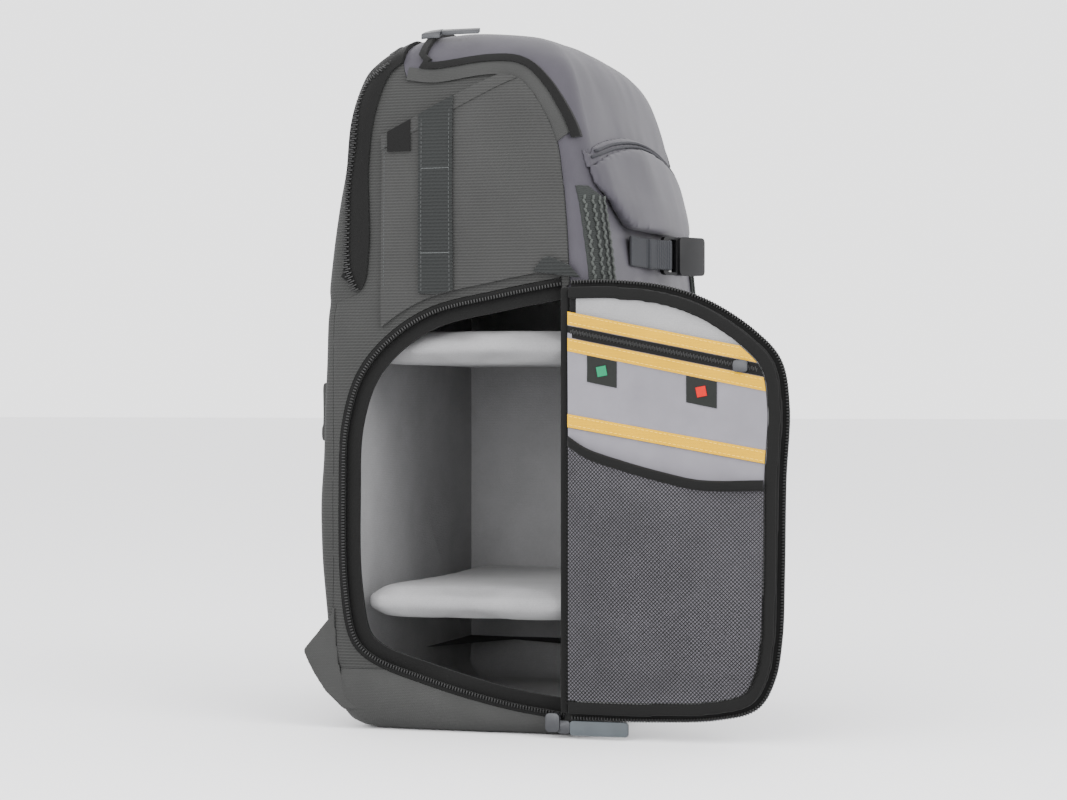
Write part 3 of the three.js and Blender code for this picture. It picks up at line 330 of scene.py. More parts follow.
def line_distance(points, line):
    """Distance of each [y, z] point from a run of [y, z] points."""
    line = np.array(line, float)
    best = np.full(len(points), 1.0)
    for start, end in zip(line[:-1], line[1:]):
        edge = end - start
        share = np.clip(((points - start) @ edge) / max(edge @ edge, 1e-12), 0, 1)
        best = np.minimum(best, np.linalg.norm(points - start - share[:, None] * edge, axis=1))
    return best


# Outward direction of the body at any place, and how far the cloth there dips or swells.
form_points, form_faces = body_form(0, 3, 0.02)
form_tree = BVHTree.FromPolygons([Vector(p) for p in form_points], form_faces)
hinge_line = [(hinge_y, boot_height), (hinge_y, side_line[0][1]), tuple(side_line[0])]
boot_line = [(-0.2, boot_height), (0.2, boot_height)]
low_seam = [(rear_line[0][0], boot_height), tuple(rear_line[0])]


def outward(points):
    return np.array([form_tree.find_nearest(Vector(p))[1] for p in points])


def cloth_depth(points):
    """How far the cloth lies below the plain form: seams pulled in, foam swelling between them."""
    flat = points[:, 1:]
    depth = np.zeros(len(points))
    for line, deep, wide in [
        (hinge_line, 0.0016, 0.006),
        (boot_line, 0.0012, 0.006),
        (low_seam, 0.0016, 0.006),
        (side_line, 0.0022, 0.007),
        (rear_line, 0.0016, 0.006),
    ]:
        depth += deep * np.exp(-((line_distance(flat, line) / wide) ** 2))
    near = points[:, 0] < 0
    depth += np.where(near, 0.0012 * np.exp(-((line_distance(flat, opening_line) / 0.007) ** 2)), 0)
    ripple = np.array(
        [
            noise.noise(Vector((p[0] * 14, p[1] * 14 + 3, p[2] * 9)))
            + 0.35 * noise.noise(Vector((p[0] * 40, p[1] * 40, p[2] * 26 + 7)))
            for p in points
        ]
    )
    return depth - 0.0016 * ripple


def dress(piece):
    """Moves a piece on the body in and out with the cloth that it is sewn to."""
    points = points_of(piece)
    set_points(piece, points - outward(points) * cloth_depth(points)[:, None])
    creased(piece, 38)


sky, wide = pack_height + 0.3, 0.3  # clear of the pack
far_left, far_right = -0.2, 0.2
wall_inside = -0.07  # between the left wall and the middle of the pack
gap = 0.0003  # between pieces that meet
foam = 0.005
rear_top_y, rear_top_z = rear_line[-1]
rear_foot_y = rear_line[0][0]
side_outline = (
    [(hinge_y, boot_height), (hinge_y, side_line[0][1])]
    + [tuple(p) for p in side_line[1:]]
    + [(rear_top_y - gap, rear_top_z - gap)]
    + [(y - gap, z) for y, z in rear_line[:-1][::-1]]
    + [(rear_foot_y - gap, boot_height)]
)
front_outline = (
    [(-wide, boot_height), (hinge_y - gap, boot_height), (hinge_y - gap, side_line[0][1])]
    + [(y - gap, z + gap) for y, z in side_line[1:]]
    + [(rear_top_y - 2 * gap, rear_top_z), (rear_top_y - 2 * gap, sky), (-wide, sky)]
)
rear_outline = (
    [(rear_foot_y, boot_height)]
    + [tuple(p) for p in rear_line]
    + [(rear_top_y, sky), (wide, sky), (wide, boot_height)]
)
boot_outline = rectangle(-wide, -0.01, wide, boot_height - gap)


def body_panel(name, node, outline, x_low, x_high, look, slot, open_side=False):
    """A padded panel of the body, its outline seen from the side."""
    panel = combine(wall(name, -foam, 0), prism(outline, x_low, x_high), "INTERSECT")
    if open_side:
        panel = combine(panel, prism(opening_line, far_left, wall_inside), "DIFFERENCE")
    finer(panel)
    dress(panel)
    settle(panel, look, slot, node, fill=0.8)


def add_node(nodes, kind, values=None, **settings):
    """A shader node with its input values and settings."""
    made = nodes.new(kind)
    for key, value in settings.items():
        setattr(made, key, value)
    for key, value in (values or {}).items():
        made.inputs[key].default_value = value
    return made


def weighted(nodes, links, source, weight, rest=None):
    """source times weight, plus rest."""
    step = add_node(nodes, "ShaderNodeMath", {1: weight, 2: 0.0}, operation="MULTIPLY_ADD")
    links.new(source, step.inputs[0])
    if rest:
        links.new(rest, step.inputs[2])
    return step.outputs[0]


def surface(nodes, links, shader, colour, factor, height, strength, distance):
    """A colour multiplied by a factor, over a relief."""
    tone = add_node(nodes, "ShaderNodeMixRGB", {"Fac": 1.0, "Color1": (*colour, 1)}, blend_type="MULTIPLY")
    links.new(factor, tone.inputs["Color2"])
    links.new(tone.outputs["Color"], shader.inputs["Base Color"])
    bump = add_node(nodes, "ShaderNodeBump", {"Strength": strength, "Distance": distance})
    links.new(height, bump.inputs["Height"])
    links.new(bump.outputs["Normal"], shader.inputs["Normal"])


def woven(name, colour, period, rib, twill, fuzz, relief_shade, rough=0.85, sheen=0.03, depth=0.0004, direction="Z"):
    """Woven cloth: yarns at a period, a finer diagonal crossing, loose fibres, slight patches, and painted
    shade in the weave's hollows.
    """
    made, nodes, links, shader = material(name)
    place = nodes.new("ShaderNodeTexCoord").outputs["Object"]
    wave, per_metre = "ShaderNodeTexWave", 0.314 / period
    crosswise = {"Scale": per_metre, "Distortion": 0.7, "Detail Scale": 0.6}
    ribs = add_node(nodes, wave, crosswise, bands_direction=direction)
    slantwise = {"Scale": 0.314 / (0.7 * period), "Distortion": 0.5, "Detail Scale": 0.8}
    yarns = add_node(nodes, wave, slantwise, bands_direction="DIAGONAL")
    fibres = add_node(nodes, "ShaderNodeTexNoise", {"Scale": 1.1 / period, "Detail": 3.0, "Roughness": 0.7})
    patches = add_node(nodes, "ShaderNodeTexNoise", {"Scale": 17.0, "Detail": 4.0, "Roughness": 0.6})
    for texture in (ribs, yarns, fibres, patches):
        links.new(place, texture.inputs["Vector"])
    height = weighted(nodes, links, ribs.outputs["Fac"], rib)
    height = weighted(nodes, links, yarns.outputs["Fac"], twill, height)
    height = weighted(nodes, links, fibres.outputs["Fac"], fuzz, height)
    # Painted shade and light: the colour is darker in the hollows of the yarn relief and lighter on its
    # crests, by relief_shade; the patches are tone that differs at random.
    shade = weighted(nodes, links, height, relief_shade)
    shade = weighted(nodes, links, patches.outputs["Fac"], 0.3, shade)
    brightest = relief_shade * (rib + twill + fuzz) + 0.3
    span = add_node(nodes, "ShaderNodeMapRange", {"From Max": brightest, "To Min": 0.55, "To Max": 1.45})
    links.new(shade, span.inputs["Value"])
    surface(nodes, links, shader, colour, span.outputs["Result"], height, 0.8, depth)
    shader.inputs["Roughness"].default_value = rough
    shader.inputs["Sheen Weight"].default_value = sheen
    shader.inputs["Sheen Roughness"].default_value = 0.5
    shader.inputs["Specular IOR Level"].default_value = 0.1
    return made


ribbed_grey = woven(
    "ribbed_grey_cloth", (0.0245, 0.0248, 0.0241), 0.0021, rib=0.8, twill=0.2, fuzz=0.25, relief_shade=0.5
)
plain_grey = woven(
    "plain_grey_cloth", (0.0285, 0.0288, 0.0281), 0.0011, rib=0.3, twill=0.3, fuzz=0.4, relief_shade=0.25,
    depth=0.0002
)
coated = woven(
    "coated_lavender_cloth", (0.0385, 0.0360, 0.0435), 0.0008, rib=0.2, twill=0.3, fuzz=0.4, relief_shade=0.1,
    rough=0.5, sheen=0.04, depth=0.00005
)

grey, full_width = (ribbed_grey, "grey_cloth"), (far_left, far_right)
body_panel("cloth_side_left", "side_panel_left", side_outline, far_left, -gap, *grey, open_side=True)
body_panel("cloth_side_right", "side_panel_right", side_outline, gap, far_right, *grey)
body_panel("cloth_front_and_lid", "front_top_shell", front_outline, *full_width, coated, "coated_cloth")
body_panel("cloth_rear_compartment", "rear_compartment", rear_outline, *full_width, *grey)
body_panel("cloth_boot", "base_boot", boot_outline, *full_width, plain_grey, "grey_cloth", open_side=True)

# ----------------------------
# Lid zip and its two gussets: a fine coil zip under a narrow flap that runs from one shoulder over
# the crown to the other, sewn between the lid and a plain grey gusset.


def skin_piece(name, node, outline, low, high, x_low, x_high, look, slot, fine=True):
    """A sewn-on layer between two distances out from the body, with its outline seen from the side."""
    piece = combine(wall(name, low, high), prism(outline, x_low, x_high), "INTERSECT")
    if fine:
        finer(piece)
    dress(piece)
    settle(piece, look, slot, node)


gusset_width, top_zip_width = 0.009, 0.005
lid_line = side_line[line_distance(side_line, [seam_points(side_seam)[3]] * 2).argmin() :]
gusset_edge = offset_line(lid_line, -gusset_width)
gusset_outline = between(lid_line, gusset_edge[1:])
for side, x_low, x_high in [("left", far_left, -gap), ("right", gap, far_right)]:
    names = "gusset_" + side, "top_gusset_" + side
    skin_piece(*names, gusset_outline, gap, 0.0015, x_low, x_high, plain_grey, "grey_cloth")

black_cloth = woven(
    "black_tape", (0.0045, 0.0045, 0.0044), 0.0009, rib=0.3, twill=0.4, fuzz=0.3, relief_shade=0.4, rough=0.8,
    sheen=0.04, depth=0.0002
)
crossing = 0.315 * back_depth
zip_run = offset_line(lid_line[:-2], -gusset_width - gap)
turn = zip_run[-1][1]
over_crown = [(crossing - 0.005, turn + 0.005), (crossing, turn + 0.010), (crossing, sky)]
zip_run = np.vstack([zip_run, over_crown])
lid_band = between(zip_run, offset_line(zip_run, -top_zip_width))
black_tape = black_cloth, "black_cloth"
skin_piece("lid_zip", "top_zip", lid_band, gap, 0.0026, *full_width, *black_tape)

# ----------------------------
# Rear compartment zip: a heavy coil zip, its tape sewn into both panels, with a black facing beside
# the coil. It climbs the side, crosses the crown and comes down the far side.
rear_zip_width = 0.017
rear_from = line_distance(rear_line, [seam_points(rear_seam)[1]] * 2).argmin()
rear_run = np.vstack([rear_line[rear_from:], [(rear_top_y, sky)]])
rear_band = between(rear_run, offset_line(rear_run, rear_zip_width))
skin_piece("rear_zip_tape", "rear_zip", rear_band, gap, 0.0022, *full_width, *black_tape)


def on_body(starts, aim, lift):
    """Places where rays meet the body, lifted off its cloth, with the outward direction at each."""
    hits = [form_tree.ray_cast(Vector(start), Vector(aim)) for start in starts]
    places, normals = np.array([hit[0] for hit in hits]), np.array([hit[1] for hit in hits])
    return places + normals * (lift - cloth_depth(places))[:, None], normals


def on_side(line, lift, side=-1):
    """Places on the left (-1) or right wall at [y, z] points."""
    return on_body([(side * 0.4, y, z) for y, z in line], (-side, 0, 0), lift)


def unit_shape(size, bevel=0.3, segments=2):
    """Points and faces of a small block with rounded edges, about its middle."""
    bpy.ops.object.select_all(action="DESELECT")
    bpy.ops.mesh.primitive_cube_add(size=1)
    block = bpy.context.object
    bpy.ops.object.mode_set(mode="EDIT")
    bpy.ops.transform.resize(value=size)
    bpy.ops.mesh.bevel(offset=min(size) * bevel, segments=segments, affect="EDGES")
    bpy.ops.object.mode_set(mode="OBJECT")
    shape = points_of(block), [list(face.vertices) for face in block.data.polygons]
    bpy.data.objects.remove(block)
    return shape


def row_of(name, unit, places, outward_at, pitch, sway=0.0, lean=0.0):
    """One mesh of copies of a unit along a line: its x along the line, its z outwards."""
    points, faces = unit
    run = np.concatenate([[0], np.cumsum(np.linalg.norm(np.diff(places, axis=0), axis=1))])
    marks = np.arange(pitch / 2, run[-1], pitch)
    at = np.stack([np.interp(marks, run, places[:, k]) for k in range(3)], axis=1)
    up = np.stack([np.interp(marks, run, outward_at[:, k]) for k in range(3)], axis=1)
    ahead = np.gradient(at, axis=0)
    ahead /= np.linalg.norm(ahead, axis=1)[:, None]
    across = np.cross(up, ahead)
    across /= np.linalg.norm(across, axis=1)[:, None]
    up = np.cross(ahead, across)
    all_points, all_faces = [], []
    for i in range(len(at)):
        hand = 1 if i % 2 else -1
        aim = ahead[i] + lean * hand * across[i]
        middle = at[i] + sway * hand * across[i]
        all_points.append(middle + points[:, :1] * aim + points[:, 1:2] * across[i] + points[:, 2:] * up[i])
        all_faces += [[v + i * len(points) for v in face] for face in faces]
    piece = solid(name, np.vstack(all_points), all_faces)
    creased(piece, 50)
    return piece


def moulded(name, colour, rough=0.4, grain=0.00005, metallic=0.0, scale=1500.0):
    """Moulded or cast parts: fine grain, roughness that varies a little, rubbed places."""
    made, nodes, links, shader = material(name)
    place = nodes.new("ShaderNodeTexCoord").outputs["Object"]
    grains = add_node(nodes, "ShaderNodeTexNoise", {"Scale": scale, "Detail": 2.0})
    rubbed = add_node(nodes, "ShaderNodeTexNoise", {"Scale": 90.0, "Detail": 4.0})
    links.new(place, grains.inputs["Vector"])
    links.new(place, rubbed.inputs["Vector"])
    span = add_node(nodes, "ShaderNodeMapRange", {"To Min": rough - 0.12, "To Max": rough + 0.15})
    links.new(rubbed.outputs["Fac"], span.inputs["Value"])
    links.new(span.outputs["Result"], shader.inputs["Roughness"])
    tone = add_node(nodes, "ShaderNodeMapRange", {"To Min": 0.75, "To Max": 1.3})
    links.new(rubbed.outputs["Fac"], tone.inputs["Value"])
    surface(nodes, links, shader, colour, tone.outputs["Result"], grains.outputs["Fac"], 0.5, grain)
    shader.inputs["Metallic"].default_value = metallic
    shader.inputs["Specular IOR Level"].default_value = 0.25
    return made


coil_nylon = moulded("zip_coil", (0.008, 0.008, 0.008), rough=0.4)
rear_teeth = [
    (0.076, 0.309), (0.082, 0.325), (0.0826, 0.352), (0.081, 0.386), (0.077, 0.414), (0.074, 0.440),
    (0.068, 0.456), (0.061, 0.463), (0.0565, 0.468),
]
crown_x, crown_y = np.linspace(0.118, -0.118, 60), 0.055
left_places, left_out = on_side(smooth_line(rear_teeth, 0.002), 0.003)
right_places, right_out = on_side(smooth_line(rear_teeth, 0.002), 0.003, side=1)
top_places, top_out = on_body([(x, crown_y, sky) for x in -crown_x], (0, 0, -1), 0.003)
coil_unit = unit_shape((0.0011, 0.0042, 0.0014))
coil_places = np.vstack([left_places, top_places, right_places[::-1]])
coil_out = np.vstack([left_out, top_out, right_out[::-1]])
coil = row_of("rear_zip_coil", coil_unit, coil_places, coil_out, 0.0016, sway=0.0009, lean=0.35)
settle(coil, coil_nylon, "black_cloth")

# ----------------------------
# Opening: one half of the door's zip round the edge of the cut, black tape with a row of moulded
# teeth, and inside it a black facing that binds the edge of the foam.
ring = between(offset_line(opening_line, 0.0006), offset_line(opening_line, 0.0056))
facing = between(offset_line(opening_line, 0.0046), offset_line(opening_line, 0.0149))
open_skin = far_left, -gap, *black_tape
skin_piece("opening_zip_tape", "opening_zip", ring, -0.0014, 0.0008, *open_skin, fine=False)
skin_piece("opening_facing_band", "opening_facing", facing, -0.0067, -0.0035, *open_skin, fine=False)
tooth_pitch, tooth_line = 0.0021, 0.002
tooth_unit = unit_shape((0.0011, 0.0026, 0.0018))
tooth_places, tooth_out = on_side(smooth_line(offset_line(opening_line, 0.0045), tooth_line), 0.0014)
opening_teeth = row_of("opening_teeth", tooth_unit, tooth_places, tooth_out, tooth_pitch)
settle(opening_teeth, coil_nylon, "black_cloth")

# ----------------------------
# Camera bay: a tub of light grey brushed lining over thin foam, with a partition in front of the
# rear compartment and a lid under the upper one, open only at the door.
bay_back, bay_top, bay_wall, bay_skin = 0.0800, 0.3220, 0.003, -0.0073


def form_block(name, out, y_high, z_high):
    """The body's form let out by a distance, up to a back plane and a level."""
    outline = rectangle(far_left, -0.1, y_high, z_high)
    return combine(solid(name, *body_form(out, 3, 0.02)), prism(outline, *full_width), "INTERSECT")


brushed = dict(rib=0.1, twill=0.1, fuzz=0.9, relief_shade=0.25, rough=0.95, sheen=0.1, depth=0.0003)
lining_look = woven("brushed_lining", (0.2, 0.2, 0.203), 0.0013, **brushed)
tub = form_block("bay_tub", bay_skin, bay_back + bay_wall, bay_top + bay_wall)
tub = combine(tub, form_block("bay_room", bay_skin - bay_wall, bay_back, bay_top), "DIFFERENCE")
before_back = prism(rectangle(far_left, -0.1, bay_back, 0.5), *full_width)
doorway = combine(prism(opening_line, far_left, wall_inside), before_back, "INTERSECT")
tub = combine(tub, doorway, "DIFFERENCE")
creased(tub, 35)
settle(tub, lining_look, "lining", "bay_lining", fill=0.7)

# ----------------------------
# Dividers: two loose foam shelves in brushed cloth, held to the lining by hook tape at their ends.
# The foam fills the cover, so the faces are crowned and the edges round.


def copy_of(node, name):
    """A merged copy of a CAD node, as the start of a soft piece."""
    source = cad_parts[node]
    made = bpy.data.objects.new(name, source.data.copy())
    bpy.context.scene.collection.objects.link(made)
    face_out(made, merge=0.00002)
    return made


def rounded(piece, voxel, smooth, levels=0):
    """Rounds the edges of a closed piece as those of a padded or sewn one."""
    apply(piece, "REMESH", mode="VOXEL", voxel_size=voxel)
    apply(piece, "SMOOTH", factor=0.5, iterations=smooth)
    if levels:
        apply(piece, "SUBSURF", levels=levels, render_levels=levels)
    only(piece)
    bpy.ops.object.shade_smooth()
    return piece


def stuffed(piece, voxel, pressure, cap, smooth):
    """Blows a closed form up like a filled cover, no point further than the cap."""
    rounded(piece, voxel, smooth)
    start = points_of(piece)
    only(piece)
    blown = piece.modifiers.new("step", "CLOTH")
    blown.settings.use_pressure = True
    blown.settings.uniform_pressure_force = pressure
    blown.settings.effector_weights.gravity = 0
    blown.settings.quality = 4
    for number in range(1, 21):
        bpy.context.scene.frame_set(number)
    bpy.ops.object.modifier_apply(modifier="step")
    bpy.context.scene.frame_set(1)
    move = points_of(piece) - start
    far = np.linalg.norm(move, axis=1)
    set_points(piece, start + move * np.minimum(1, cap / np.maximum(far, 1e-9))[:, None])
    apply(piece, "SUBSURF", levels=1, render_levels=1)
    only(piece)
    bpy.ops.object.shade_smooth()


def squeeze(piece, x=1.0, y=1.0, z=1.0):
    """Makes a piece slightly smaller about its middle, to leave room for its filling."""
    points = points_of(piece)
    middle = (points.min(axis=0) + points.max(axis=0)) / 2
    set_points(piece, middle + (points - middle) * (x, y, z))


for name in ("divider_upper", "divider_lower"):
    shelf = copy_of(name, "padded_" + name)
    squeeze(shelf, 0.985, 0.985, 0.9)
    stuffed(shelf, 0.0045, 4, 0.005, smooth=10)
    settle(shelf, lining_look, "lining", name, fill=0.7)

# ----------------------------
# Door: a foam panel, ribbed grey outside and lined inside, sewn to the pack by a black spine. Its
# half of the zip runs round the edge, and a padded black binding covers the tape's inner side.
door_hinge = hinge_y - 0.006 - gap
door_length, door_height = 0.8916 * opening_length, 0.9542 * opening_height
door_bottom = opening_bottom + 0.0212 * opening_height
door_skin = -half_width - gap
door_face = door_skin - 0.008
door_shape = [
    (0, 1), (0.2, 1), (0.45, 0.985), (0.65, 0.95), (0.86, 0.88), (0.965, 0.82), (1, 0.72),
    (0.985, 0.55), (0.978, 0.33), (0.968, 0.19), (0.935, 0.095), (0.865, 0.035), (0.7, 0.01),
    (0.4, 0), (0, 0),
]
door_line = smooth_line(
    [(door_hinge - a * door_length, door_bottom + u * door_height) for a, u in door_shape], 0.004
)
rim_line = offset_line(door_line, -0.009)


def ripple(piece, axis, size, deep, seed):
    """Slight waves over a piece, along one axis."""
    points = points_of(piece)
    points[:, axis] += [deep * noise.noise(Vector(p) / size + Vector((seed, 0, 0))) for p in points]
    set_points(piece, points)


door = rounded(prism(door_line, door_face, door_skin), 0.0025, smooth=4, levels=1)
door.name = "door_panel"
ripple(door, 0, 0.05, 0.0008, 3)
settle(door, lining_look, "lining", "side_door", fill=0.8)
door.data.materials.append(ribbed_grey)
door.data.materials.append(black_cloth)
middles = np.array([face.center for face in door.data.polygons])
edge_distance = line_distance(middles[:, 1:], np.vstack([door_line, door_line[:1]]))
for face, far in zip(door.data.polygons, edge_distance):
    face.material_index = 2 if far < 0.005 else 1 if face.normal.x > 0.3 else 0

spine_outline = rectangle(door_hinge + gap, door_bottom, hinge_y, door_bottom + door_height)
spine = rounded(prism(spine_outline, door_face + 0.001, door_skin), 0.0015, smooth=3)
spine.name = "door_spine_web"
settle(spine, *black_tape, "door_spine")

tape_outline = between(offset_line(door_line, 0.0043), offset_line(door_line, -0.004))
door_tape = prism(tape_outline, door_skin - 0.0025, door_skin - 0.0006)
door_tape.name = "door_zip_tape"
settle(door_tape, *black_tape, "door_zip")
edge_line = smooth_line(offset_line(door_line, 0.0036), tooth_line)
edge_places = np.column_stack([np.full(len(edge_line), door_skin - 0.0030), edge_line])
edge_out = np.tile((-1.0, 0, 0), (len(edge_line), 1))
door_teeth = row_of("door_teeth", tooth_unit, edge_places, edge_out, tooth_pitch)
settle(door_teeth, coil_nylon, "black_cloth")

rim_block = prism(between(door_line, rim_line), door_face - gap - 0.003, door_face - gap)
rim = rounded(rim_block, 0.0018, smooth=4, levels=1)
rim.name = "door_padded_rim"
settle(rim, *black_tape, "door_rim", fill=0.8)

# ----------------------------
# Door pockets: two panels of thin silver-grey lining with a zip in the upper one, the edges bound
# with yellow tape under double stitching, and two woven tags sewn into the middle tape.
door_side, far_y = -0.1, door_hinge - door_length
zone = offset_line(rim_line, -0.0002)
zone_path = np.vstack([zone, zone[:1]])


def in_zone(y, z, path=zone_path):
    """True inside the door's inner edge."""
    crossings = (path[:-1, 1] > z) != (path[1:, 1] > z)
    a, b = path[:-1][crossings], path[1:][crossings]
    return np.sum(y < a[:, 0] + (z - a[:, 1]) * (b[:, 0] - a[:, 0]) / (b[:, 1] - a[:, 1])) % 2 == 1


stitch_pitch, stitch_length = 0.0032, 0.0022


def thread_row(name, places, outward_at, look, pitch=stitch_pitch, length=stitch_length):
    """Lockstitches along a line: each a short round thread that dives into the cloth."""
    piece = row_of(name, unit_shape((length, 0.0005, 0.0004), 0.45), places, outward_at, pitch)
    settle(piece, look, "yellow_tape")


def on_door(line, lift):
    """Places on the door's inner face at those [y, z] points that lie inside its rim."""
    line = np.array([p for p in line if in_zone(*p)], float)
    places = np.column_stack([np.full(len(line), door_face - lift), line])
    return places, np.tile((-1.0, 0, 0), (len(line), 1))


def door_cloth(name, node, outline, lift, thick, look, slot, step=0.003):
    """A sheet sewn flat on the door's inner face, cut to an outline of [y, z] pairs."""
    outline = np.array(outline, float)
    low, high = outline.min(axis=0) - step, outline.max(axis=0) + step
    bpy.ops.object.select_all(action="DESELECT")
    bpy.ops.mesh.primitive_grid_add(
        x_subdivisions=int((high[1] - low[1]) / step),
        y_subdivisions=int((high[0] - low[0]) / step),
        size=1,
        rotation=(0, math.radians(-90), 0),
        location=(door_face - lift, (low[0] + high[0]) / 2, (low[1] + high[1]) / 2),
    )
    piece = bpy.context.object
    piece.name = name
    piece.scale = (high[1] - low[1], high[0] - low[0], 1)
    bpy.ops.object.transform_apply(location=True, rotation=True, scale=True)
    bpy.ops.object.mode_set(mode="EDIT")
    bpy.ops.mesh.select_all(action="SELECT")
    bpy.ops.mesh.extrude_region_move(TRANSFORM_OT_translate={"value": (-thick, 0, 0)})
    bpy.ops.object.mode_set(mode="OBJECT")
    face_out(piece)
    combine(piece, prism(outline, far_left, door_side), "INTERSECT")
    combine(piece, prism(offset_line(rim_line, -gap), far_left, door_side), "INTERSECT")
    creased(piece, 40)
    return settle(piece, look, slot, node)


def slanted(level, fall, tall):
    """A band across the door from its level at the hinge."""
    low = level - fall * door_length
    return [(door_hinge, level), (far_y, low), (far_y, low - tall), (door_hinge, level - tall)]


def door_level(share):
    """The level at a share of the door's height."""
    return door_bottom + share * door_height


silver = dict(rib=0.3, twill=0.2, fuzz=0.3, relief_shade=0.1, rough=0.55, sheen=0.05, depth=0.00005)
pocket_cloth = woven("silver_lining", (0.135, 0.130, 0.146), 0.0007, **silver)
bright = dict(rib=0.3, twill=0.5, fuzz=0.3, relief_shade=0.25, rough=0.75, sheen=0.01, depth=0.00025)
yellow_look = woven("yellow_binding", (0.44, 0.24, 0.0), 0.0010, **bright)
yellow_thread = moulded("yellow_thread", (0.68, 0.42, 0.03), rough=0.6)
top_share, middle_share, low_share = 0.9418, 0.88, 0.702
fall_top, fall_low = 0.2, 0.175
tape_tall, tape_lift, stitch_inset, rim_clear = 0.009, 0.0018, 0.0016, 0.011
top_level, low_level = door_level(top_share), door_level(low_share)
drop_top, drop_low = fall_top * door_length, fall_low * door_length
upper_panel = [
    (door_hinge, top_level),
    (far_y, top_level - drop_top),
    (far_y, low_level - drop_low - tape_tall),
    (door_hinge, low_level - tape_tall),
]
fold_depth, fold_wide, fold_long = 0.0016, 0.014, 0.05


def puckers(piece):
    """Lets a thin panel stand off the door here and there, in folds that run down it."""
    points = points_of(piece)
    lift = [0.5 + 0.5 * noise.noise(Vector((3.1, p[1] / fold_wide, p[2] / fold_long))) for p in points]
    points[:, 0] -= fold_depth * np.clip(lift, 0, 1)
    set_points(piece, points)


lower_top = low_level - tape_tall - gap
lower_panel = [(door_hinge, lower_top), (far_y, lower_top - drop_low), (far_y, -0.1), (door_hinge, -0.1)]
pocket_args = gap, 0.0012, pocket_cloth, "lining"
pocket_upper = door_cloth("pocket_panel_upper", "door_pocket_upper", upper_panel, *pocket_args)
door_cloth("pocket_panel_lower", "door_pocket_lower", lower_panel, *pocket_args)
puckers(pocket_upper)


def across_door(near, level, fall):
    """A line across the door just inside its rim, from a level at the hinge."""
    far_level = level - fall * (door_length - rim_clear)
    return smooth_line([(near, level), (far_y + rim_clear, far_level)], 0.002)


tape_runs = ("upper", top_share, fall_top), ("middle", middle_share, fall_top), ("lower", low_share, fall_low)
for place, share, fall in tape_runs:
    level = door_level(share)
    names = "binding_" + place, "door_tape_" + place
    door_cloth(*names, slanted(level, fall, tape_tall), tape_lift, 0.0012, yellow_look, "yellow_tape")
    for edge in (stitch_inset, tape_tall - stitch_inset):
        line = across_door(door_hinge - 0.001, level - edge, fall)
        thread_row(f"thread_{place}_{int(edge * 1e4)}", *on_door(line, 0.0031), yellow_thread)
zip_tall = 0.008
zip_level = (top_level - tape_tall + door_level(middle_share) + zip_tall) / 2
zip_outline = slanted(zip_level, fall_top, zip_tall)
door_cloth("pocket_zip_tape", "door_pocket_zip", zip_outline, tape_lift, 0.0010, *black_tape)
zip_mid = on_door(across_door(door_hinge - 0.002, zip_level - zip_tall / 2, fall_top), 0.0029)
pocket_coil = row_of("pocket_zip_coil", unit_shape((0.0008, 0.0026, 0.0008)), *zip_mid, 0.0012, sway=0.0004)
settle(pocket_coil, coil_nylon, "black_cloth")

tag_black, tile_green, tile_red = [
    woven(name, colour, 0.0006, rib=0.4, twill=0.3, fuzz=0.2, relief_shade=0.3, depth=0.0001)
    for name, colour in [
        ("tag_weave", (0.012, 0.013, 0.012)),
        ("green_tile_weave", (0.006, 0.14, 0.065)),
        ("red_tile_weave", (0.36, 0.008, 0.006)),
    ]
]
tag_wide, tag_tall, tile_half, tile_turn = 0.021, 0.018, 0.0048, 0.6
for node, share, tile_look, slot in [
    ("tag_green", 0.1, tile_green, "green_patch"),
    ("tag_red", 0.6, tile_red, "red_patch"),
]:
    y = door_hinge - share * (door_length - 0.009)
    level = door_level(middle_share) - tape_tall - gap - fall_top * (door_hinge - y)
    fall = fall_top * tag_wide
    far = y - tag_wide
    outline = [(y, level), (far, level - fall), (far, level - fall - tag_tall), (y, level - tag_tall)]
    tag = door_cloth(node + "_patch", node, outline, tape_lift, 0.0012, tag_black, slot, step=0.002)
    ripple(tag, 0, 0.012, 0.0006, 5)
    middle = np.array([y - tag_wide / 2, level - 0.0108])
    turns = tile_turn + np.radians([0, 90, 180, 270])
    tile = middle + tile_half * np.stack([np.cos(turns), np.sin(turns)], axis=1)
    door_cloth(node + "_tile", None, tile, 0.0032, 0.0004, tile_look, slot, step=0.001)

# ----------------------------
# Net pocket: black knitted net with diamond holes over the lower half of the door, sewn in at the
# rim and bound along its curved mouth. It stands a little off the door.
mouth_rows = np.array(
    [(0, 0.6507), (0.1, 0.6233), (0.28, 0.5959), (0.5, 0.5685), (0.68, 0.5514), (1, 0.5514)]
)
mouth_smooth = smooth_line(mouth_rows, 0.02)
net_near, net_far = door_hinge - gap, door_hinge - door_length + 0.009 + gap
net_foot = door_level(0.0377)
net_face = door_face - 2 * gap - 0.0012


def mouth_level(u):
    """The mouth's level at a share of the net's width from the hinge."""
    return door_level(np.interp(u, mouth_smooth[:, 0], mouth_smooth[:, 1]))


def net_x(u, z):
    """How far out the net stands at a share of its width and a level."""
    grown = 0.45 + 0.55 * np.clip((z - net_foot) / (mouth_level(u) - net_foot), 0, 1)
    leaving = np.clip((z - net_foot) / 0.025, 0, 1)
    return net_face - 0.009 * np.sqrt(np.sin(np.pi * np.clip(u, 0.001, 0.999))) * grown * leaving


cell = 0.0026  # across one diamond hole
columns = int((net_near - net_far) / cell) + 2
rows = int(0.19 / cell) + 2
net_points, net_faces, known = [], [], {}


def net_place(i, j):
    """Share of the width, y and z of a knot."""
    y, z = net_near + 0.002 - i * cell / 2, net_foot - 0.004 + j * cell / 2
    return (net_near - y) / (net_near - net_far), y, z


def net_vertex(i, j):
    if (i, j) not in known:
        known[i, j] = len(net_points)
        u, y, z = net_place(i, j)
        net_points.append((float(net_x(u, z)) - 0.0004, y, z))
    return known[i, j]


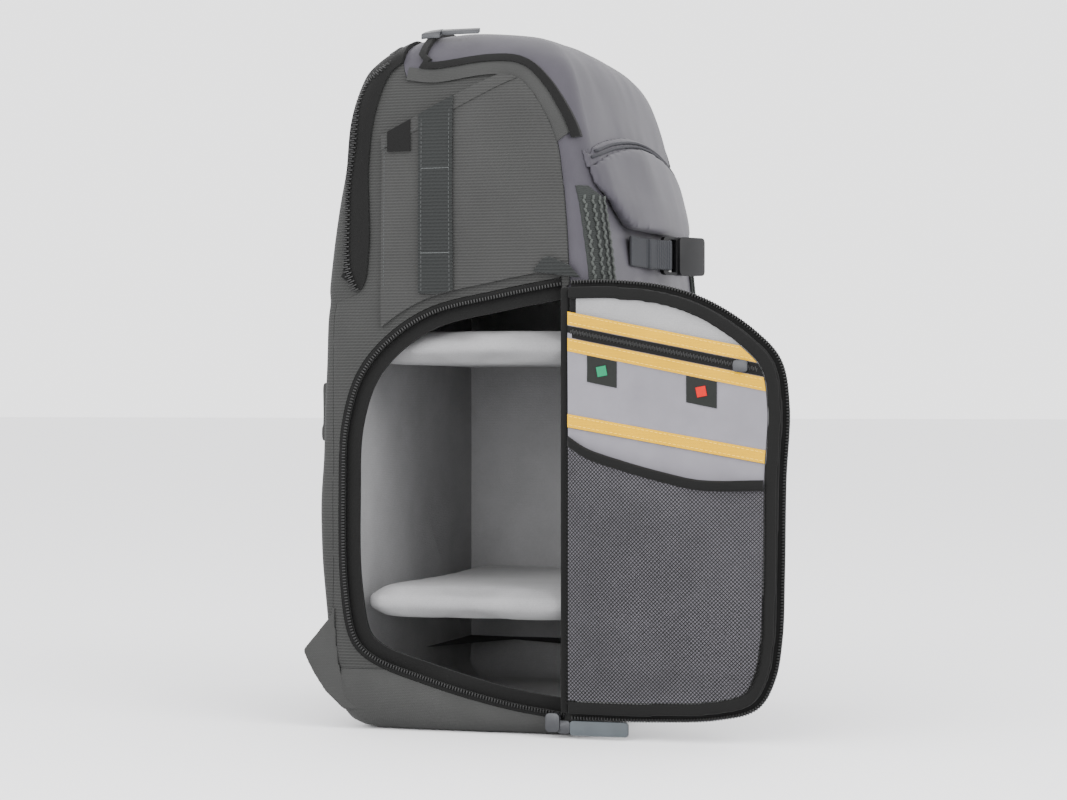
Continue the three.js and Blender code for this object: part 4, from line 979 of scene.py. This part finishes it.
net_edge = offset_line(rim_line, 0.0025)
net_path = np.vstack([net_edge, net_edge[:1]])
for i in range(2 * columns):
    for j in range(2 * rows):
        if (i + j) % 2:
            continue
        u, y, z = net_place(i, j)
        if z < mouth_level(min(max(u, 0), 1)) - 0.004 and in_zone(y - cell / 4, z, net_path):
            corners = [(i - 1, j), (i, j - 1), (i + 1, j), (i, j + 1)]
            net_faces.append([net_vertex(*corner) for corner in corners])
net = solid("net_pocket_knit", net_points, net_faces)
apply(net, "WIREFRAME", thickness=0.00075, use_even_offset=False, use_replace=True)
settle(net, moulded("net_yarn", (0.004, 0.004, 0.004), rough=0.8), "black_net", "mesh_pocket")


def loft(name, rings):
    """A closed piece through rings that have the same number of points."""
    count = len(rings[0])
    faces = [list(range(count)), [(len(rings) - 1) * count + k for k in range(count)]]
    for i in range(len(rings) - 1):
        for k in range(count):
            a, b = i * count + k, i * count + (k + 1) % count
            faces.append([a, b, b + count, a + count])
    piece = solid(name, np.vstack(rings), faces)
    face_out(piece)
    return piece


# The binding's section: down from the mouth, and out from the net.
binding_section = [
    (-0.0072, 0.0004), (-0.0072, -0.0012), (-0.006, -0.0026), (-0.0012, -0.0026), (0, -0.0012),
    (0, 0.0004),
]
binding_rings = []
for u in np.linspace(0.0, 1.0, 60):
    levels = [float(mouth_level(u)) + down for down, _ in binding_section]
    y = net_near + u * (net_far - net_near)
    binding_rings.append([(float(net_x(u, z)) + out, y, z) for z, (_, out) in zip(levels, binding_section)])
binding = loft("net_pocket_binding", binding_rings)
combine(binding, prism(zone, far_left, door_side), "INTERSECT")
creased(binding, 50)
settle(binding, *black_tape, "mesh_edge")

# ----------------------------
# Slip pocket on the open side: ribbed stretch cloth with a slanted, hemmed mouth, caught in the
# front seam and stitched down along its rear edge. A webbing band and a bare label lie over it.
pocket_rear, mouth_low, mouth_front, mouth_high = 0.0565, 0.418, -0.024, 0.458
mouth_fall = (mouth_high - mouth_low) / (pocket_rear - mouth_front)


def mouth_at(y):
    """The pocket mouth's level."""
    return mouth_low + (pocket_rear - y) * mouth_fall


def pocket_layer(name, node, outline, low, high, look, slot, fine=True, fill=None):
    """A layer on the open side, clear of the opening's zip."""
    piece = combine(wall(name, low, high), prism(side_outline, far_left, door_side), "INTERSECT")
    piece = combine(piece, prism(outline, far_left, door_side), "INTERSECT")
    piece = combine(piece, prism(offset_line(opening_line, -0.006), far_left, door_side), "DIFFERENCE")
    if fine:
        finer(piece)
    dress(piece)
    settle(piece, look, slot, node, fill)


stretch = dict(rib=0.8, twill=0.15, fuzz=0.25, relief_shade=0.3, rough=0.8, sheen=0.04, depth=0.0005)
stretch_grey = woven("stretch_grey", (0.0265, 0.0267, 0.0260), 0.0021, **stretch)
pocket_low = opening_bottom + opening_height / 2
zone_top, hem_tall = mouth_at(far_left), 0.010
mouth_run = [(pocket_rear, mouth_low), (far_left, zone_top)]
slip_outline = [(far_left, pocket_low), (pocket_rear, pocket_low)] + mouth_run
pocket_layer("slip_pocket", "side_pocket", slip_outline, gap, 0.0028, stretch_grey, "grey_cloth", fill=0.4)
hem_outline = [(far_left, zone_top - hem_tall), (pocket_rear, mouth_low - hem_tall)] + mouth_run
pocket_layer("slip_pocket_hem", None, hem_outline, 0.0026, 0.0036, stretch_grey, "grey_cloth")

ribbed = dict(rib=0.9, twill=0.2, fuzz=0.2, relief_shade=0.3, rough=0.6, sheen=0.08, depth=0.0006)
webbing_look = woven("side_web", (0.011, 0.012, 0.0118), 0.0024, **ribbed)
web_front, web_rear, web_low = 0.003, 0.028, 0.305
web_outline = [
    (web_front, web_low),
    (web_rear, web_low + 0.002),
    (web_rear, mouth_at(web_rear)),
    (web_front, mouth_at(web_front)),
]
pocket_layer("side_web_band", "side_webbing", web_outline, 0.0037, 0.0055, webbing_look, "webbing")
dark_thread = moulded("dark_thread", (0.03, 0.032, 0.032), rough=0.6)
pale_thread = moulded("pale_thread", (0.075, 0.08, 0.08), rough=0.6)


def side_stitches(name, line, lift, look, slot, pitch=stitch_pitch, length=stitch_length):
    """Lockstitches on the open side."""
    line = smooth_line(line, 0.003)
    piece = row_of(name, unit_shape((length, 0.0006, 0.0005), 0.45), *on_side(line, lift), pitch)
    settle(piece, look, slot)


web_face, slip_face, hem_face = 0.0055, 0.0028, 0.0036  # out from the body
for y in (web_front + 0.0022, web_rear - 0.0022):
    line = [(y, web_low + 0.003), (y, mouth_at(y) - 0.003)]
    side_stitches(f"web_stitches_{int(y * 1e4)}", line, web_face, dark_thread, "webbing")
for level in (0.394, 0.335):
    line = [(web_front + 0.002, level), (web_rear - 0.002, level)]
    name = f"web_bartack_{int(level * 1e3)}"
    side_stitches(name, line, web_face, pale_thread, "webbing", pitch=0.0007, length=0.0006)
line = [(pocket_rear - 0.002, mouth_low - 0.004), (pocket_rear - 0.002, 0.312)]
side_stitches("slip_pocket_edge_stitches", line, slip_face, dark_thread, "grey_cloth")
hem_end = mouth_front + 0.004
line = [(pocket_rear - 0.001, mouth_low - 0.008), (hem_end, mouth_at(hem_end) - 0.008)]
side_stitches("slip_pocket_hem_stitches", line, hem_face, dark_thread, "grey_cloth")
label = [(0.0345, 0.4065), (0.0515, 0.4065), (0.0515, 0.4205), (0.0345, 0.429)]
pocket_layer("bare_side_label", "side_label", label, 0.0037, 0.0048, *black_tape, fine=False)

# ----------------------------
# Front pouch: coated cloth over thin foam, let into the front panel, under a padded hood whose
# lower edge is piped twice with dark tape.


def soft_copy(node, name, voxel, look, slot, smooth, levels=0, waves=0.0, fill=None):
    """A CAD layer with its edges rounded as cloth or webbing, with slight waves."""
    piece = rounded(copy_of(node, name), voxel, smooth, levels)
    if waves:
        ripple(piece, 1, 0.04, waves, 2)
    return settle(piece, look, slot, node, fill)


def tube(name, path, radius, look, slot, sides=8):
    """A round cord or piping along a path."""
    path = np.array(path, float)
    ahead = np.gradient(path, axis=0)
    ahead /= np.linalg.norm(ahead, axis=1)[:, None]
    across = np.cross(ahead, (0, 0, 1.0))
    across /= np.linalg.norm(across, axis=1)[:, None]
    over = np.cross(across, ahead)
    angle = np.linspace(0, 2 * math.pi, sides, endpoint=False)[:, None]
    rings = [p + radius * (np.cos(angle) * u + np.sin(angle) * v) for p, u, v in zip(path, across, over)]
    piece = loft(name, rings)
    only(piece)
    bpy.ops.object.shade_smooth()
    settle(piece, look, slot)


pouch = soft_copy("front_pouch", "padded_front_pouch", 0.0025, coated, "coated_cloth", smooth=6, levels=1)
tucked = points_of(pouch)
middle_level, tuck = tucked[:, 2].mean(), 0.005
tucked[:, 2] += tuck * np.clip((tucked[:, 2] - middle_level) / 0.02, 0, 1)
set_points(pouch, tucked)
ripple(pouch, 1, 0.05, 0.0016, 8)
hood = soft_copy("pouch_hood", "padded_pouch_hood", 0.0014, coated, "coated_cloth", smooth=8, fill=0.6)
hood_points = points_of(hood)
hood_faces = [list(face.vertices) for face in hood.data.polygons]
hood_tree = BVHTree.FromPolygons([Vector(p) for p in hood_points], hood_faces)


def hood_edge(x, down):
    """The place on the hood's face a little above its lower edge."""
    level = hood_points[np.abs(hood_points[:, 0] - x) < 0.004][:, 2].min()
    for _ in range(60):
        if hood_tree.ray_cast(Vector((x, -0.4, level)), Vector((0, 1, 0)))[0]:
            hit = hood_tree.ray_cast(Vector((x, -0.4, level + down)), Vector((0, 1, 0)))[0]
            return (hit.x, hit.y - 0.0007, hit.z) if hit else None
        level += 0.0005
    return None


piping_look = woven(
    "dark_piping", (0.026, 0.026, 0.03), 0.0008, rib=0.2, twill=0.6, fuzz=0.2, relief_shade=0.2, depth=0.0001
)
for number, down in enumerate((0.0058, 0.0088)):
    path = [hood_edge(x, down) for x in np.linspace(-0.121, 0.121, 70)]
    path = smooth_line([p for p in path if p], 0.004)
    tube(f"hood_piping_{number}", path, 0.0011, piping_look, "coated_cloth")

# ----------------------------
# Ribbons: two dark woven tapes on the front corners, each carrying four chain cords side by side.
ribbon_look = woven(
    "ribbon_weave", (0.02, 0.022, 0.021), 0.0013, rib=0.5, twill=0.5, fuzz=0.3, relief_shade=0.3, depth=0.0003
)
chain_look = woven(
    "chain_cord", (0.043, 0.047, 0.044), 0.0007, rib=0.2, twill=0.8, fuzz=0.3, relief_shade=0.2, depth=0.0001
)
ribbon_x, ribbon_low, ribbon_top = 0.125, 0.4024 * pack_height + 0.004, 0.372
chain_unit = unit_shape((0.0034, 0.0019, 0.0016), 0.4)
for side, name in ((-1, "left"), (1, "right")):
    soft_copy("ribbon_" + name, "woven_ribbon_" + name, 0.0012, ribbon_look, "webbing", smooth=3)
    for number, across in enumerate((-0.0075, -0.0025, 0.0025, 0.0075)):
        places, outs = [], []
        for level in np.linspace(ribbon_low, ribbon_top, 60):
            start = Vector((side * (ribbon_x + across), -0.4, level))
            hit, normal, _, _ = form_tree.ray_cast(start, Vector((0, 1, 0)))
            if hit:
                places.append(hit + normal * 0.0028)
                outs.append(normal)
        places, outs = np.array(places), np.array(outs)
        chain = row_of(f"chain_{name}_{number}", chain_unit, places, outs, 0.0031, sway=0.0005, lean=0.3)
        settle(chain, chain_look, "webbing")

# ----------------------------
# Front strap: ribbed webbing from one front corner to a moulded side-release buckle, free to hang,
# and back from its prongs to the other corner.


def hard_copy(node, name, bevel, look, slot, segments=2):
    """A moulded or cast part with its edges broken."""
    piece = copy_of(node, name)
    limits = dict(limit_method="ANGLE", angle_limit=math.radians(40), use_clamp_overlap=True)
    apply(piece, "BEVEL", width=bevel, segments=segments, **limits)
    creased(piece, 35)
    settle(piece, look, slot, node)


strap_look = woven(
    "strap_web", (0.024, 0.025, 0.028), 0.0022, direction="X", rib=0.9, twill=0.2, fuzz=0.2, relief_shade=0.3,
    depth=0.0005
)
for name in ("left", "right"):
    soft_copy("front_strap_" + name, "front_web_" + name, 0.0011, strap_look, "webbing", smooth=2)
nylon = moulded("moulded_nylon", (0.006, 0.006, 0.0065), rough=0.36)
hard_copy("buckle_socket", "moulded_socket", 0.0007, nylon, "black_nylon")
hard_copy("buckle_prongs", "moulded_prongs", 0.0006, nylon, "black_nylon")

# ----------------------------
# Back: two padded pads and a lumbar pad of spacer mesh over foam, the band that slides over a
# luggage handle, the padded straps with their ladder locks and webbing, the handle and the wings.
spacer_mesh = woven(
    "spacer_mesh", (0.012, 0.012, 0.0125), 0.0032, direction="X", rib=0.35, twill=0.9, fuzz=0.3, relief_shade=0.3,
    sheen=0.04, depth=0.0004
)
for name in ("back_pad_left", "back_pad_right", "lumbar_pad"):
    pad = copy_of(name, "foam_" + name)
    squeeze(pad, 0.98, 1.0, 0.98)
    stuffed(pad, 0.004, 4, 0.003, smooth=5)
    settle(pad, spacer_mesh, "black_cloth", name, fill=0.7)
for side in ("left", "right"):
    strap = copy_of("shoulder_strap_" + side, "foam_strap_" + side)
    squeeze(strap, 0.99, 1.0, 1.0)
    stuffed(strap, 0.0035, 3, 0.002, smooth=4)
    settle(strap, spacer_mesh, "black_cloth", "shoulder_strap_" + side, fill=0.7)
    soft_copy("strap_webbing_" + side, "adjusting_web_" + side, 0.0014, strap_look, "webbing", smooth=2)
    hard_copy("ladder_lock_" + side, "moulded_ladder_lock_" + side, 0.0006, nylon, "black_nylon")
    soft_copy(
        "wing_" + side, "folded_wing_" + side, 0.0016, plain_grey, "grey_cloth", smooth=4, waves=0.0015
    )
soft_copy("trolley_band", "luggage_band", 0.0016, plain_grey, "grey_cloth", smooth=4, waves=0.001)
soft_copy("grab_handle", "carry_handle", 0.0016, webbing_look, "webbing", smooth=12)

# ----------------------------
# Sliders, pulls and the hinge tab: cast sliders with their eyes, the lid zip's flat pull, the
# door's rubber pull, and the webbing tab folded over the top of the hinge.
zinc = moulded("cast_slider", (0.03, 0.031, 0.034), rough=0.35, metallic=0.3)
for node in ("top_slider", "rear_slider", "door_pocket_slider", "door_slider"):
    hard_copy(node, "cast_" + node, 0.0005, zinc, "slider_metal")
hard_copy("top_pull", "cast_top_pull", 0.0004, zinc, "slider_metal")
rubber = moulded("pull_rubber_look", (0.042, 0.05, 0.056), rough=0.5)
hard_copy("door_pull", "rubber_pull", 0.0010, rubber, "pull_rubber", segments=3)
soft_copy("hinge_tab", "folded_hinge_tab", 0.0009, webbing_look, "webbing", smooth=3)
